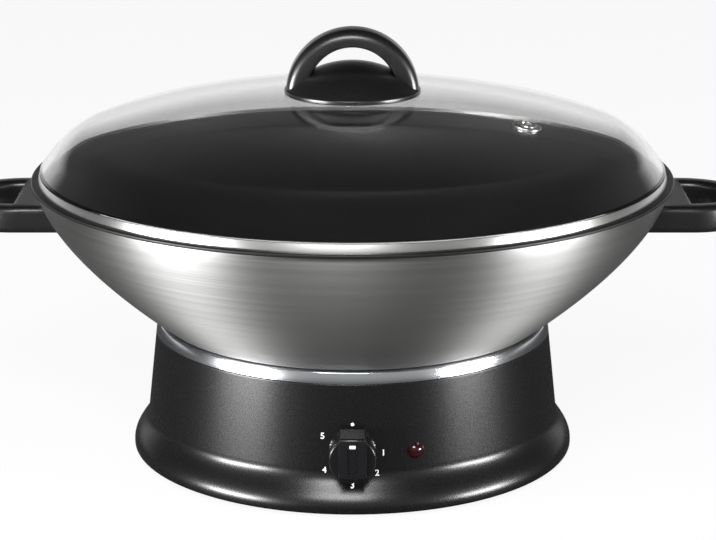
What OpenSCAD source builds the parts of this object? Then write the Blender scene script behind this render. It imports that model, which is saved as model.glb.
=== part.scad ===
// Electric wok: a black moulded base with a cast-in heating element, a removable
// aluminium wok bowl with two side handles, and a domed glass lid that lifts off.
// Millimetres, +Z up, front of the wok on -Y, origin on the axis at table height.

/* [Base shell] */
// Radius of the shell at its top edge
shell_top_r = 111.8; // [108:0.1:116]
// How much wider the shell's wall is just above the flare than at its top edge
shell_lean = 5.1; // [4:0.1:7]
// How far the foot flares out beyond the wall
flare_out = 8.8; // [7:0.1:11]
// Height of the shell from its lower edge to its top edge
shell_h = 68; // [66:0.5:80]
// Height over which the foot flares out
flare_h = 19.5; // [15:0.5:24]
// Height of the upright edge below the flare
foot_edge_h = 2.5; // [1.5:0.1:4]
// Gap between the shell's lower edge and the table
foot_gap = 2; // [1.5:0.1:4]
// Wall thickness of the moulded shell
shell_wall = 3; // [2.4:0.1:3.6]
// Radius of each screw column inside the shell
column_r = 4.5; // [4:0.1:5.5]
// Distance of the screw columns from the shell's inner wall, at its top
column_inset = 7.8; // [7:0.1:10]
// Width of the rib that joins a column to the wall
column_rib_w = 3; // [2:0.1:4]

/* [Dial and lamp] */
// Radius of the flat seat behind the control knob
dial_r = 12.8; // [12:0.1:15]
// How far that seat stands in front of the wall just above the flare
dial_out = 2.6; // [2:0.1:4]
// Height of the knob's axis above the table
dial_z = 33.5; // [31:0.1:36]
// Radius of the control knob's round skirt
knob_r = 12.5; // [11:0.1:15]
// Thickness of the knob's round skirt
knob_skirt_t = 9; // [4:0.1:11]
// Width of the knob's raised grip bar
bar_w = 14.6; // [12:0.1:16]
// How far the pointer end of the bar reaches above the knob's axis
bar_up = 14.6; // [13.5:0.1:16]
// How far the bar reaches below the knob's axis
bar_down = 11; // [10:0.1:12]
// How far the bar stands out from the seat
bar_out = 16.5; // [14:0.1:19]
// Gap between the knob and its seat
knob_gap = 0.4; // [0.3:0.1:0.8]
// Radius of the thermostat's spindle
spindle_r = 3; // [2.5:0.1:3.5]
// Running clearance of the spindle in its bush, on the radius
spindle_play = 0.06; // [0.04:0.01:0.1]
// Radius of the indicator lamp's lens
lens_r = 4.5; // [3.5:0.1:5.5]
// Sideways distance of the lamp from the wok's centre line
lamp_x = 33.7; // [31:0.1:38]
// Height of the lamp above the table
lamp_z = 32.9; // [30:0.1:36]

/* [Bottom] */
// Thickness of the bottom plate
bottom_t = 2.5; // [2:0.1:3]
// Height of the bottom plate above the shell's lower edge
bottom_up = 2; // [1.5:0.1:3]
// Gap between the bottom plate's edge and the shell
bottom_gap = 0.5; // [0.3:0.1:1]
// Radius of each rubber foot
rubber_foot_r = 9; // [7:0.5:10]
// Distance of the rubber feet's middles from the foot's edge
rubber_foot_inset = 19.7; // [17:0.1:25]

/* [Heater] */
// Thickness of the support tray's sheet steel
tray_t = 1.2; // [1:0.1:1.6]
// Space between the support tray and the hot plate
heater_space = 9.7; // [9.5:0.1:11]
// Thickness of the cast hot plate
plate_t = 8; // [7:0.1:9]
// Gap between the hot plate and the trim ring
plate_gap = 1.5; // [1:0.1:2.5]
// How far the hot plate lies below the top of the trim ring
plate_drop = 0.5; // [0.3:0.1:0.8]
// Distance of the heating element's loop from the plate spacers' middles
element_inset = 18; // [15:0.5:26]
// Radius of the heating element's tube
element_r = 3.5; // [3:0.1:4]
// Angle of the loop between the element's two ends
element_gap_angle = 50; // [40:1:70]
// Radius of the element's cold ends
cold_end_r = 4.2; // [4:0.1:5]
// Radius of each plate spacer
spacer_r = 5; // [4:0.1:6]
// Distance of the plate spacers' middles from the ring's clamped flange
spacer_inset = 9; // [8:0.5:14]

/* [Trim ring] */
// Height of the bright trim ring above the shell
ring_h = 6.4; // [5.5:0.1:8]
// Sheet thickness of the trim ring
ring_t = 1.2; // [1:0.1:1.5]
// How far the ring's outer band leans in towards its top
ring_lean = 1.5; // [1:0.1:2]
// Gap between the trim ring's inner wall and the shell
ring_fit = 0.3; // [0.2:0.1:0.6]
// Width of the ring's clamped inner flange
ring_flange_w = 11.5; // [10.5:0.1:12]

/* [Bowl] */
// Gap between the bowl's side, where it starts to rise, and the trim ring
bowl_fit = 0.3; // [0.3:0.1:1]
// Distance of the flat underside's edge from the start of the side
bowl_foot_step = 3; // [2.5:0.5:7]
// Radius of the bowl's side just below the rim
bowl_top_r = 177; // [175.5:0.1:179]
// Height of the bowl's side, underside to rim
bowl_side_h = 81; // [76:0.5:86]
// Shape of the bowl's side: 1 is a straight cone, larger is rounder
bowl_curve = 1.53; // [1.35:0.01:1.7]
// Thickness of the bowl's side
bowl_wall = 3; // [2.6:0.1:3.4]
// Thickness of the bowl's bottom
bowl_bottom_t = 5; // [4:0.1:6]
// How far the rim stands out from the side
rim_out = 2.5; // [2:0.1:4]
// Height of the rim
rim_h = 2.4; // [2:0.1:4]

/* [Side handles] */
// Inner radius of each side handle's loop
handle_in_r = 25; // [23:0.5:28]
// Thickness of the loop
handle_bar = 12; // [10:0.5:14]
// Height of the loop's section
handle_h = 15; // [13:0.5:16]
// Height of the handles' middle below the rim
handle_below = 17; // [14:0.5:20]
// Distance of the handles' outer face from the bowl's side at the rim
handle_stand = 11; // [9:0.5:15]
// Gap between a handle and the bowl
handle_gap = 0.3; // [0.2:0.1:0.5]
// Distance of each handle stud from the handle's middle
stud_at = 13; // [11:0.5:15]
// Radius of the studs welded to the bowl
stud_r = 3; // [2.5:0.1:3.5]

/* [Lid] */
// Distance of the lid's steel band from the rim's outer edge
band_inset = 4; // [3:0.1:4.5]
// Height of the lid's steel band
band_h = 4; // [3.5:0.1:5]
// Sheet thickness of the steel band
band_t = 1; // [0.8:0.1:1.2]
// Depth of the band's skirt inside the bowl
skirt_h = 7; // [5:0.5:9]
// Gap between the skirt and the bowl at the rim
skirt_gap = 3; // [2.5:0.1:4]
// Thickness of the lid's glass
glass_t = 4; // [3.5:0.1:4.5]
// Gap between the glass and the band
glass_fit = 0.1; // [0.1:0.05:0.3]
// Height of the dome's top above the bowl's rim
dome_h = 45.5; // [44:0.1:50]
// How far the dome's crown would fall from its middle to the edge of the glass
dome_fall = 27.9; // [24:0.1:31]
// Shape of the crown: 2 is evenly round, larger is flatter in the middle
dome_flat = 2.4; // [2:0.05:3]
// Width of the sloping shoulder between the crown and the glass's edge
dome_shoulder_w = 17.4; // [14:0.1:20]
// Slope of that shoulder, in degrees
dome_shoulder_slope = 52; // [48:1:56]
// Radius of the bend between the crown and the shoulder
dome_bend = 12; // [8:0.5:16]
// Radius of the steam vent's flange
vent_flange_r = 7.8; // [6.5:0.1:9]
// Radius of the steam vent's tube, outside
vent_tube_r = 4.6; // [4:0.1:5.5]
// Radius of the steam vent's hole
vent_hole_r = 3.4; // [2.5:0.1:3.6]
// Distance of the steam vent from the lid's axis
vent_at = 107.2; // [95:0.1:120]
// Direction of the steam vent from the wok's right, towards the back
vent_az = -29.1; // [-60:0.1:60]

/* [Lid knob] */
// Radius of the lid knob's disc
disc_r = 38; // [36:0.1:41]
// Height of the disc's lip
lip_h = 2.6; // [2:0.1:4]
// Gap between the disc's edge and the glass
disc_gap = 0.3; // [0.2:0.1:0.6]
// Height of the knob's domed cap above the lip
cap_h = 15; // [12:0.1:16]
// Outer radius of the knob's arch
arch_out_r = 37.2; // [36:0.1:38]
// Thickness of the arch at its top
arch_top_t = 9.6; // [8:0.1:10]
// Thickness of the arch at its feet
arch_foot_t = 15.6; // [13:0.1:16.5]
// Width of the arch, front to back
arch_w = 22; // [18:0.5:26]
// Height of the arch's centre below the lip's top edge
arch_sink = 3.4; // [2:0.1:5]
// Radius of the knob's fixing screw
knob_screw_r = 2.5; // [2:0.1:3]
// Thickness of the seals on both sides of the glass
seal_t = 1.5; // [1:0.1:2]

/* [Cord gland] */
// Radius of the cable bore through the gland
gland_bore_r = 3.75; // [3:0.05:4.5]
// Radius of the gland's neck
gland_neck_r = 6.5; // [6:0.1:7.5]
// Radius of the gland's outer flange
gland_flange_r = 9.5; // [8.5:0.1:11]
// Height of the gland above the table
gland_z = 30; // [28:0.5:34]
// How far the gland's seat stands behind the wall just above the flare
gland_out = 2.1; // [1.5:0.1:3]

/* [Fasteners] */
// Radius of the self-tapping screws' shanks
screw_r = 1.9; // [1.6:0.1:2.1]
// Radius of the screws' heads
screw_head_r = 3.6; // [3.2:0.1:4]
// Height of the screws' heads
screw_head_h = 2.2; // [1.8:0.1:2.6]
// Clearance of a screw in the sheet that it holds, on the radius
screw_play = 0.2; // [0.15:0.05:0.4]
// Clearance of a screw in its pilot hole, on the radius
pilot_play = 0.05; // [0.03:0.01:0.1]

/* [Hidden] */
$fn = 96;
e = 0.02;

// Heights of the base, from the table up
shell_z0 = foot_gap;
shell_top_z = foot_gap + shell_h;
bottom_z = foot_gap + bottom_up;
bottom_top_z = bottom_z + bottom_t;
ring_top_z = shell_top_z + ring_h;
plate_top_z = ring_top_z - plate_drop;
plate_z = plate_top_z - plate_t;
tray_top_z = plate_z - heater_space;
tray_z = tray_top_z - tray_t;
column_angles = [45, 135, 225, 315];
foot_angles = [0, 90, 180, 270];

// Radii of the base
waist_r = shell_top_r + shell_lean;
foot_r = waist_r + flare_out;
dial_face_y = waist_r + dial_out;
gland_seat_y = waist_r + gland_out;
rubber_foot_at = foot_r - rubber_foot_inset;
shell_bore_r = shell_top_r - shell_wall;
column_at = shell_bore_r - column_inset;
ring_in_r = shell_bore_r - ring_fit - ring_t;
ring_flange_r = ring_in_r - ring_flange_w + ring_t;
plate_r = ring_in_r - plate_gap;
tray_edge = 1.5;
tray_r = ring_in_r + ring_t - tray_edge;
spacer_at = ring_flange_r - spacer_inset;
element_loop_r = spacer_at - element_inset;

// Bowl and lid heights
bowl_z = plate_top_z;
rim_z = bowl_z + bowl_side_h;
rim_top_z = rim_z + rim_h;
bowl_side_r = ring_in_r - bowl_fit;
bowl_foot_r = bowl_side_r - bowl_foot_step;
bowl_in_r = bowl_top_r - bowl_wall;
rim_r = bowl_top_r + rim_out;
band_r = rim_r - band_inset;
skirt_r = bowl_in_r - skirt_gap;
glass_r = band_r - band_t - glass_fit;
dome_shoulder_r = glass_r - dome_shoulder_w;
dome_top_z = rim_top_z + dome_h;
disc_z = dome_z(disc_r) + disc_gap;
lip_z = disc_z + lip_h;

// Outer radius of the shell at a height above its lower edge
flare_top = foot_edge_h + flare_h;
function shell_r(h) = h <= foot_edge_h ? foot_r
    : h < flare_top ? waist_r + (foot_r - waist_r) * (1 + cos(180 * (h - foot_edge_h) / flare_h)) / 2
    : waist_r + (shell_top_r - waist_r) * (h - flare_top) / (shell_h - flare_top);

flare_steps = 4;
shell_heights = concat([0], [for (i = [0 : flare_steps]) foot_edge_h + flare_h * i / flare_steps],
    [shell_h]);

bottom_r = shell_r(bottom_up + bottom_t) - shell_wall - bottom_gap;

// Radius of the bowl's outside at a height above its underside
function bowl_r(h) = bowl_side_r
    + (bowl_top_r - bowl_side_r) * (1 - pow(max(1 - h / bowl_side_h, 0), bowl_curve));

// Outward normal of the bowl's side, as [radial, up]
function bowl_normal(h) =
    let (a = max(h - 0.5, 0), b = min(h + 0.5, bowl_side_h))
    let (dr = bowl_r(b) - bowl_r(a), dh = b - a)
    [dh, -dr] / norm([dh, dr]);

bowl_steps = 18;
bowl_start_h = 1.2;
function bowl_step(i) = bowl_start_h + (bowl_side_h - bowl_start_h) * i / bowl_steps;

// Height and slope of the crown's outer face at a distance from the lid's axis
function dome_z(r) = dome_top_z - dome_fall * pow(r / glass_r, dome_flat);
function dome_slope(r) = dome_fall * dome_flat / glass_r * pow(r / glass_r, dome_flat - 1);

// The glass's crown, bend and shoulder, from the axis out, at a depth below the outer face
function dome_face(depth) = concat(
    [for (i = [0 : dome_steps])
        let (r = dome_shoulder_r * i / dome_steps, n = [dome_slope(r), 1] / norm([dome_slope(r), 1]))
        [r, dome_z(r)] - n * depth],
    [for (i = [1 : bend_steps])
        let (a = bend_from + (dome_shoulder_slope - bend_from) * i / bend_steps)
        bend_middle + (dome_bend - depth) * [sin(a), cos(a)]],
    [let (r0 = bend_middle[0] + (dome_bend - depth) * sin(dome_shoulder_slope))
        let (z0 = bend_middle[1] + (dome_bend - depth) * cos(dome_shoulder_slope))
        [glass_r - depth, z0 - (glass_r - depth - r0) * tan(dome_shoulder_slope)]]);
dome_steps = 20;
bend_steps = 4;
bend_from = atan(dome_slope(dome_shoulder_r));
bend_middle = [dome_shoulder_r, dome_z(dome_shoulder_r)] - dome_bend * [sin(bend_from), cos(bend_from)];

function unit(v) = v / norm(v);

// The plane in which a wire's run turns at point i, as its normal
function turn_normal(p, i) = i == len(p) - 1
    ? unit(p[i] - p[i - 1])
    : unit(unit(p[i] - p[i - 1]) + unit(p[i + 1] - p[i]));

// The rings of a run from point i on, each slid along the wire to its turning plane
function run_rings(p, i, ring) = i == len(p) ? [] :
    let (d = unit(p[i] - p[i - 1]), n = turn_normal(p, i))
    let (next = [for (q = ring) q + d * (((p[i] - q) * n) / (d * n))])
    concat([next], run_rings(p, i + 1, next));

wire_sides = 8;

// A wire or a thin tube along a list of points, mitred at each turn
module run(points, r) {
    d = unit(points[1] - points[0]);
    u = unit(cross(d, [0.31, 0.52, 0.79]));
    v = cross(d, u);
    start = [for (k = [0 : wire_sides - 1])
        points[0] + r * (u * cos(360 * k / wire_sides) + v * sin(360 * k / wire_sides))];
    rings = concat([start], run_rings(points, 1, start));
    last = (len(rings) - 1) * wire_sides;
    sides = [for (i = [0 : len(rings) - 2], k = [0 : wire_sides - 1])
        let (a = i * wire_sides, m = (k + 1) % wire_sides)
        [a + k, a + wire_sides + k, a + wire_sides + m, a + m]];
    polyhedron(
        points = [for (ring = rings, q = ring) q],
        faces = concat(
            [[for (k = [0 : wire_sides - 1]) k]],
            sides,
            [[for (k = [wire_sides - 1 : -1 : 0]) last + k]]));
}

// A pan-head screw at the origin, its shank pointing down and its head resting on z = 0
module screw(length) {
    difference() {
        union() {
            cylinder(r = screw_head_r, h = screw_head_h, $fn = 40);
            translate([0, 0, -length]) cylinder(r = screw_r, h = length + e, $fn = 32);
        }
        translate([0, 0, screw_head_h - slot_depth]) cross_slot(slot_l, slot_w, 2 * slot_depth);
    }
}

slot_l = 4;
slot_w = 0.9;
slot_depth = 1.2;

// The driver slot in a screw's head
module cross_slot(length, width, depth) {
    translate([-length / 2, -width / 2, 0]) cube([length, width, depth]);
    translate([-width / 2, -length / 2, 0]) cube([width, length, depth]);
}

module around(angles, radius, z) {
    for (a = angles) rotate([0, 0, a]) translate([radius, 0, z]) children();
}

// A cylinder along +Y from a start to an end
module cylinder_y(r, y0, y1, x = 0, z = 0) {
    translate([x, y0, z]) rotate([-90, 0, 0]) cylinder(r = r, h = y1 - y0);
}

// ---- Base ----

module shell_outside() {
    outer = [for (h = shell_heights) [shell_r(h), shell_z0 + h]];
    rotate_extrude($fn = 180)
        polygon(concat([[0, shell_z0]], outer, [[0, shell_top_z]]));
}

module shell_inside() {
    inner = [for (h = shell_heights) [shell_r(h) - shell_wall, shell_z0 + h]];
    rotate_extrude($fn = 180)
        polygon(concat([[0, shell_z0 - 1], [inner[0][0], shell_z0 - 1]], inner,
            [[shell_bore_r, shell_top_z + 1], [0, shell_top_z + 1]]));
}

pilot_depth = 12;
screw_bite = 9;
lamp_az = asin(lamp_x / shell_r(lamp_z - foot_gap)) - 90;
lamp_wall_r = shell_r(lamp_z - foot_gap);
lens_play = 0.1;
lamp_hole_l = 20;
dial_pocket_r = dial_r - shell_wall;
gland_play = 0.1;
gland_boss_rim = 1.5;
gland_boss_l = 9;
gland_boss_r = gland_flange_r + gland_boss_rim;
gland_boss_y = gland_seat_y - gland_boss_l;

module base_shell() {
    color("#1b1b1d")
        difference() {
            union() {
                shell_with_columns();
                dial_boss();
                gland_boss();
            }
            dial_pocket();
            around(column_angles, column_at, tray_z - pilot_depth)
                cylinder(r = screw_r + pilot_play, h = pilot_depth + 1, $fn = 32);
            around(column_angles, column_at, bottom_top_z - 1)
                cylinder(r = screw_r + pilot_play, h = pilot_depth + 1, $fn = 32);
            rotate([0, 0, lamp_az]) translate([lamp_wall_r - lamp_hole_l / 2, 0, lamp_z])
                rotate([0, 90, 0]) cylinder(r = lens_r + lens_play, h = lamp_hole_l);
            cylinder_y(gland_neck_r + gland_play, gland_boss_y - 1, gland_seat_y + 1, z = gland_z);
        }
}

module shell_with_columns() {
    difference() {
        shell_outside();
        shell_inside();
    }
    columns();
}

// The screw columns, with ribs that end inside the wall
rib_root = 0.6;

module columns() {
    h = tray_z - bottom_top_z;
    rib_from = shell_z0 + flare_top;
    around(column_angles, 0, bottom_top_z) {
        translate([column_at, 0, 0]) cylinder(r = column_r, h = h);
        translate([0, column_rib_w / 2, 0]) rotate([90, 0, 0])
            linear_extrude(height = column_rib_w)
                polygon([
                    [column_at, 0],
                    [waist_r - shell_wall * rib_root, 0],
                    [waist_r - shell_wall * rib_root, rib_from - bottom_top_z],
                    [shell_r(tray_z - shell_z0) - shell_wall * rib_root, h],
                    [column_at, h]]);
    }
}

dial_boss_l = 8.5;
dial_pocket_l = 20;
spindle_hole_play = 0.4;

module dial_boss() {
    cylinder_y(dial_r, -dial_face_y, -dial_face_y + dial_boss_l, z = dial_z);
}

module dial_pocket() {
    back_y = -dial_face_y + dial_pocket_l;
    cylinder_y(dial_pocket_r, -dial_face_y + shell_wall, back_y, z = dial_z);
    cylinder_y(spindle_r + spindle_hole_play, -dial_face_y - 1, back_y, z = dial_z);
}

module gland_boss() {
    cylinder_y(gland_boss_r, gland_boss_y, gland_seat_y, z = gland_z);
}

bracket_boss_h = 5;
bracket_boss_x = 12;
bracket_back = 7.5;
bracket_face_y = dial_face_y - shell_wall - bracket_back;
bracket_t = 1.5;
bracket_foot_l = 20;
bracket_foot_z = bottom_top_z + bracket_boss_h;
bracket_boss_y = bracket_face_y - bracket_foot_l / 2;
block_y = 74;
block_size = [34, 14, 16];
block_boss_h = 3;
block_boss_x = 12;
vent_slot = [2.5, 24];

module bottom_plate() {
    color("#2a2a2c")
        difference() {
            union() {
                translate([0, 0, bottom_z]) cylinder(r = bottom_r, h = bottom_t, $fn = 180);
                for (x = [-bracket_boss_x, bracket_boss_x])
                    translate([x, -bracket_boss_y, bottom_top_z - e])
                        cylinder(r = column_r, h = bracket_boss_h + e);
                for (x = [-block_boss_x, block_boss_x])
                    translate([x, block_y, bottom_top_z - e])
                        cylinder(r = column_r, h = block_boss_h + e);
            }
            around(column_angles, column_at, bottom_z - 1)
                cylinder(r = screw_r + screw_play, h = bottom_t + 2, $fn = 32);
            around(foot_angles, rubber_foot_at, bottom_z - 1)
                cylinder(r = foot_stem_r + foot_stem_play, h = bottom_t + 2, $fn = 40);
            for (x = [-bracket_boss_x, bracket_boss_x])
                translate([x, -bracket_boss_y, bottom_z + 1])
                    cylinder(r = screw_r + pilot_play, h = bottom_t + bracket_boss_h, $fn = 32);
            for (x = [-block_boss_x, block_boss_x])
                translate([x, block_y, bottom_z + 1])
                    cylinder(r = screw_r + pilot_play, h = bottom_t + block_boss_h, $fn = 32);
            for (i = [-3 : 3])
                translate([i * 9 - vent_slot[0] / 2, -vent_slot[1] / 2, bottom_z - 1])
                    cube([vent_slot[0], vent_slot[1], bottom_t + 2]);
        }
}

foot_stem_r = 3;
foot_stem_play = 0.1;
foot_cap_r = 4.6;
foot_cap_h = 2;

module rubber_feet() {
    color("#222222")
        around(foot_angles, rubber_foot_at, 0) {
            cylinder(r = rubber_foot_r, h = bottom_z);
            translate([0, 0, bottom_z - e])
                cylinder(r = foot_stem_r, h = bottom_t + 2 * e, $fn = 40);
            translate([0, 0, bottom_top_z]) cylinder(r = foot_cap_r, h = foot_cap_h, $fn = 40);
        }
}

base_screw_l = bottom_t + screw_bite;

module base_screws() {
    color("#b9bcc0")
        around(column_angles, column_at, bottom_z)
            rotate([180, 0, 0]) screw_short_head();
}

// A flat-headed screw that stays clear of the table
module screw_short_head() {
    cylinder(r = screw_head_r, h = base_head_h, $fn = 40);
    translate([0, 0, -base_screw_l]) cylinder(r = screw_r, h = base_screw_l + e, $fn = 32);
}

base_head_h = 1.6;
gland_flange_t = 3;
gland_thread_l = 8;
gland_nut_t = 4;
gland_nut_play = 0.1;

module cord_gland() {
    color("#151516")
        difference() {
            union() {
                cylinder_y(gland_flange_r, gland_seat_y, gland_seat_y + gland_flange_t, z = gland_z);
                cylinder_y(gland_neck_r, gland_boss_y - gland_thread_l, gland_seat_y + e, z = gland_z);
            }
            cylinder_y(gland_bore_r, gland_boss_y - gland_thread_l - 1,
                gland_seat_y + gland_flange_t + 1, z = gland_z);
        }
}

module gland_nut() {
    color("#2b2b2b")
        translate([0, gland_boss_y - gland_nut_t - 0.1, gland_z])
            rotate([-90, 0, 0])
                difference() {
                    cylinder(r = gland_flange_r, h = gland_nut_t, $fn = 6);
                    translate([0, 0, -1])
                        cylinder(r = gland_neck_r + gland_nut_play, h = gland_nut_t + 2);
                }
}

module trim_ring() {
    z0 = shell_top_z;
    top = ring_top_z;
    r_top = shell_top_r - ring_lean;
    round = 1;
    color("#d9dbde")
        difference() {
            rotate_extrude($fn = 180)
                polygon([
                    [shell_top_r, z0],
                    [r_top, top - round],
                    [r_top - round * 0.3, top - round * 0.3],
                    [r_top - round, top],
                    [ring_in_r + round, top],
                    [ring_in_r + round * 0.3, top - round * 0.3],
                    [ring_in_r, top - round],
                    [ring_in_r, tray_top_z + ring_t],
                    [ring_flange_r, tray_top_z + ring_t],
                    [ring_flange_r, tray_top_z],
                    [ring_in_r + ring_t, tray_top_z],
                    [ring_in_r + ring_t, top - ring_t],
                    [r_top - ring_t, top - ring_t],
                    [shell_top_r - ring_t, z0]]);
            around(column_angles, column_at, tray_top_z - 1)
                cylinder(r = screw_r + screw_play, h = ring_t + 2, $fn = 32);
        }
}

tray_screw_l = ring_t + tray_t + screw_bite - 1;

module tray_screws() {
    color("#b9bcc0")
        around(column_angles, column_at, tray_top_z + ring_t) screw(tray_screw_l);
}

spacer_angles = [90, 210, 330];
end_angles = [90 - element_gap_angle / 2, 90 + element_gap_angle / 2];
bead_r = 6.5;
bead_play = 0.1;
bead_h = 8;
sensor_hole_r = 4;
sensor_hole_y = 56;
fuse_x = 40;
earth_x = -40;

module support_tray() {
    color("#c3c6ca")
        difference() {
            translate([0, 0, tray_z]) cylinder(r = tray_r, h = tray_t, $fn = 180);
            around(column_angles, column_at, tray_z - 1)
                cylinder(r = screw_r + screw_play, h = tray_t + 2, $fn = 32);
            around(spacer_angles, spacer_at, tray_z - 1)
                cylinder(r = screw_r + screw_play, h = tray_t + 2, $fn = 32);
            around(end_angles, element_loop_r, tray_z - 1)
                cylinder(r = bead_r + bead_play, h = tray_t + 2);
            translate([0, -sensor_hole_y, tray_z - 1]) cylinder(r = sensor_hole_r, h = tray_t + 2);
        }
}

element_z = plate_z - 1;
groove_play = 0.1;
plate_pilot_depth = 5;

module hot_plate() {
    color("#9a9c9e")
        difference() {
            translate([0, 0, plate_z]) cylinder(r = plate_r, h = plate_t, $fn = 180);
            translate([0, 0, element_z]) rotate_extrude($fn = 120)
                translate([element_loop_r, 0]) circle(r = element_r + groove_play, $fn = 40);
            around(end_angles, element_loop_r, plate_z - 1)
                cylinder(r = cold_end_r + groove_play, h = cold_end_up + 1 + groove_play);
            around(spacer_angles, spacer_at, plate_z - 1)
                cylinder(r = screw_r + pilot_play, h = plate_pilot_depth + 1, $fn = 32);
        }
}

cold_end_up = 2;
cold_end_z = tray_z - 4;
pin_r = 1.5;
pin_l = 8;

module heating_element() {
    color("#6f6a66") {
        translate([0, 0, element_z]) rotate([0, 0, end_angles[1]])
            rotate_extrude(angle = 360 - element_gap_angle, $fn = 120)
                translate([element_loop_r, 0]) circle(r = element_r, $fn = 40);
        around(end_angles, element_loop_r, cold_end_z)
            cylinder(r = cold_end_r, h = plate_z + cold_end_up - cold_end_z);
        around(end_angles, element_loop_r, cold_end_z - pin_l)
            cylinder(r = pin_r, h = pin_l + e, $fn = 24);
    }
}

module terminal_beads() {
    color("#ece6d8")
        around(end_angles, element_loop_r, tray_z - 3)
            difference() {
                union() {
                    cylinder(r = bead_r, h = bead_h);
                    cylinder(r = bead_r + 1.5, h = 3 - 0.1);
                }
                translate([0, 0, -1]) cylinder(r = cold_end_r + bead_play, h = bead_h + 2);
            }
}

module plate_spacers() {
    color("#b9bcc0")
        around(spacer_angles, spacer_at, tray_top_z)
            difference() {
                cylinder(r = spacer_r, h = heater_space);
                translate([0, 0, -1])
                    cylinder(r = screw_r + screw_play, h = heater_space + 2, $fn = 32);
            }
}

plate_screw_bite = 4;
plate_screw_l = tray_t + heater_space + plate_screw_bite;

module plate_screws() {
    color("#b9bcc0")
        around(spacer_angles, spacer_at, tray_z) rotate([180, 0, 0]) screw(plate_screw_l);
}

thermostat_size = [34, 24, 30];
thermostat_front_y = bracket_face_y - bracket_t;
thermostat_neck_r = 5;
neck_l = 7;
neck_play = 0.1;

module thermostat_body() {
    color("#d8cfb8")
        difference() {
            union() {
                translate([-thermostat_size[0] / 2, -thermostat_front_y,
                    dial_z - thermostat_size[2] / 2]) cube(thermostat_size);
                cylinder_y(thermostat_neck_r, -thermostat_front_y - neck_l,
                    -thermostat_front_y + e, z = dial_z);
                for (x = [-tab_x, tab_x])
                    translate([x - tab_w / 2, -thermostat_front_y + thermostat_size[1] - e,
                        dial_z - tab_drop]) cube([tab_w, tab_l, tab_t]);
            }
            cylinder_y(spindle_r + spindle_play, -thermostat_front_y - neck_l - 1,
                -thermostat_front_y + spindle_in + 0.5, z = dial_z);
        }
}

tab_l = 7;
tab_w = 6;
tab_t = 0.8;
tab_drop = 8;
spindle_in = 14;
bracket_w = 40;
bracket_h = dial_z + thermostat_size[2] / 2 - bracket_foot_z;

module thermostat_bracket() {
    color("#c3c6ca")
        difference() {
            union() {
                translate([-bracket_w / 2, -bracket_face_y, bracket_foot_z])
                    cube([bracket_w, bracket_t, bracket_h]);
                translate([-bracket_w / 2, -bracket_face_y, bracket_foot_z])
                    cube([bracket_w, bracket_foot_l, bracket_t]);
            }
            cylinder_y(thermostat_neck_r + neck_play, -bracket_face_y - 1,
                -bracket_face_y + bracket_t + 1, z = dial_z);
            for (x = [-bracket_boss_x, bracket_boss_x])
                translate([x, -bracket_boss_y, bracket_foot_z - 1])
                    cylinder(r = screw_r + screw_play, h = bracket_t + 2, $fn = 32);
        }
}

nut_t = 3;
nut_r = 8;

module thermostat_nut() {
    color("#c9a95a")
        translate([0, -bracket_face_y - nut_t - 0.05, dial_z]) rotate([-90, 0, 0])
            difference() {
                cylinder(r = nut_r, h = nut_t, $fn = 6);
                translate([0, 0, -1]) cylinder(r = thermostat_neck_r + neck_play, h = nut_t + 2);
            }
}

bracket_screw_l = bracket_t + bracket_boss_h;

module bracket_screws() {
    color("#b9bcc0")
        for (x = [-bracket_boss_x, bracket_boss_x])
            translate([x, -bracket_boss_y, bracket_foot_z + bracket_t]) screw(bracket_screw_l);
}

capillary_r = 0.9;
bulb_r = 2.4;
bulb_l = 60;
bulb_y = 20;
bulb_gap = 0.2;
thermostat_back_y = thermostat_front_y - thermostat_size[1];

module sensor_tube() {
    bulb_z = plate_z - bulb_r - bulb_gap;
    color("#b87b4b") {
        run([
            [0, -thermostat_back_y, dial_z + 8],
            [0, -sensor_hole_y, dial_z + 8],
            [0, -sensor_hole_y, tray_top_z + 4],
            [-bulb_l / 2 - 14, -8, tray_top_z + 4],
            [-bulb_l / 2 - 14, bulb_y, bulb_z],
            [-bulb_l / 2, bulb_y, bulb_z]], capillary_r);
        translate([-bulb_l / 2, bulb_y, bulb_z]) rotate([0, 90, 0])
            cylinder(r = bulb_r, h = bulb_l, $fn = 32);
    }
}

fuse_r = 2;
fuse_l = 11;
fuse_lead_l = 6;
fuse_lead_r = 0.5;
clip_t = 0.8;
fuse_z = tray_z - fuse_r - 0.1;
fuse_y = 30;

module thermal_fuse() {
    color("#dcdcd6") {
        translate([fuse_x, fuse_y - fuse_l / 2, fuse_z]) rotate([-90, 0, 0])
            cylinder(r = fuse_r, h = fuse_l, $fn = 32);
        translate([fuse_x, fuse_y - fuse_l / 2 - fuse_lead_l, fuse_z]) rotate([-90, 0, 0])
            cylinder(r = fuse_lead_r, h = fuse_l + 2 * fuse_lead_l, $fn = 24);
    }
}

module fuse_clip() {
    w = 6;
    foot = 6;
    half = fuse_r + 0.1;
    color("#c3c6ca") {
        translate([fuse_x - half - clip_t, fuse_y - w / 2, fuse_z - half - clip_t])
            cube([2 * (half + clip_t), w, clip_t]);
        for (s = [-1, 1])
            translate([fuse_x + s * (half + clip_t / 2) - clip_t / 2, fuse_y - w / 2,
                fuse_z - half - clip_t]) cube([clip_t, w, tray_z - fuse_z + half + clip_t]);
        for (s = [-1, 1])
            translate([fuse_x + s * (half + foot / 2) - foot / 2, fuse_y - w / 2, tray_z - clip_t])
                cube([foot, w, clip_t]);
    }
}

block_z = bottom_top_z + block_boss_h;
block_top_z = block_z + block_size[2];
block_floor = 3;
block_screw_bite = 4;
block_pitch = 5;
head_play = 0.3;
wire_hole_r = 1.6;
wire_hole_depth = 8;
wire_in = wire_hole_depth - 2;

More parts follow.
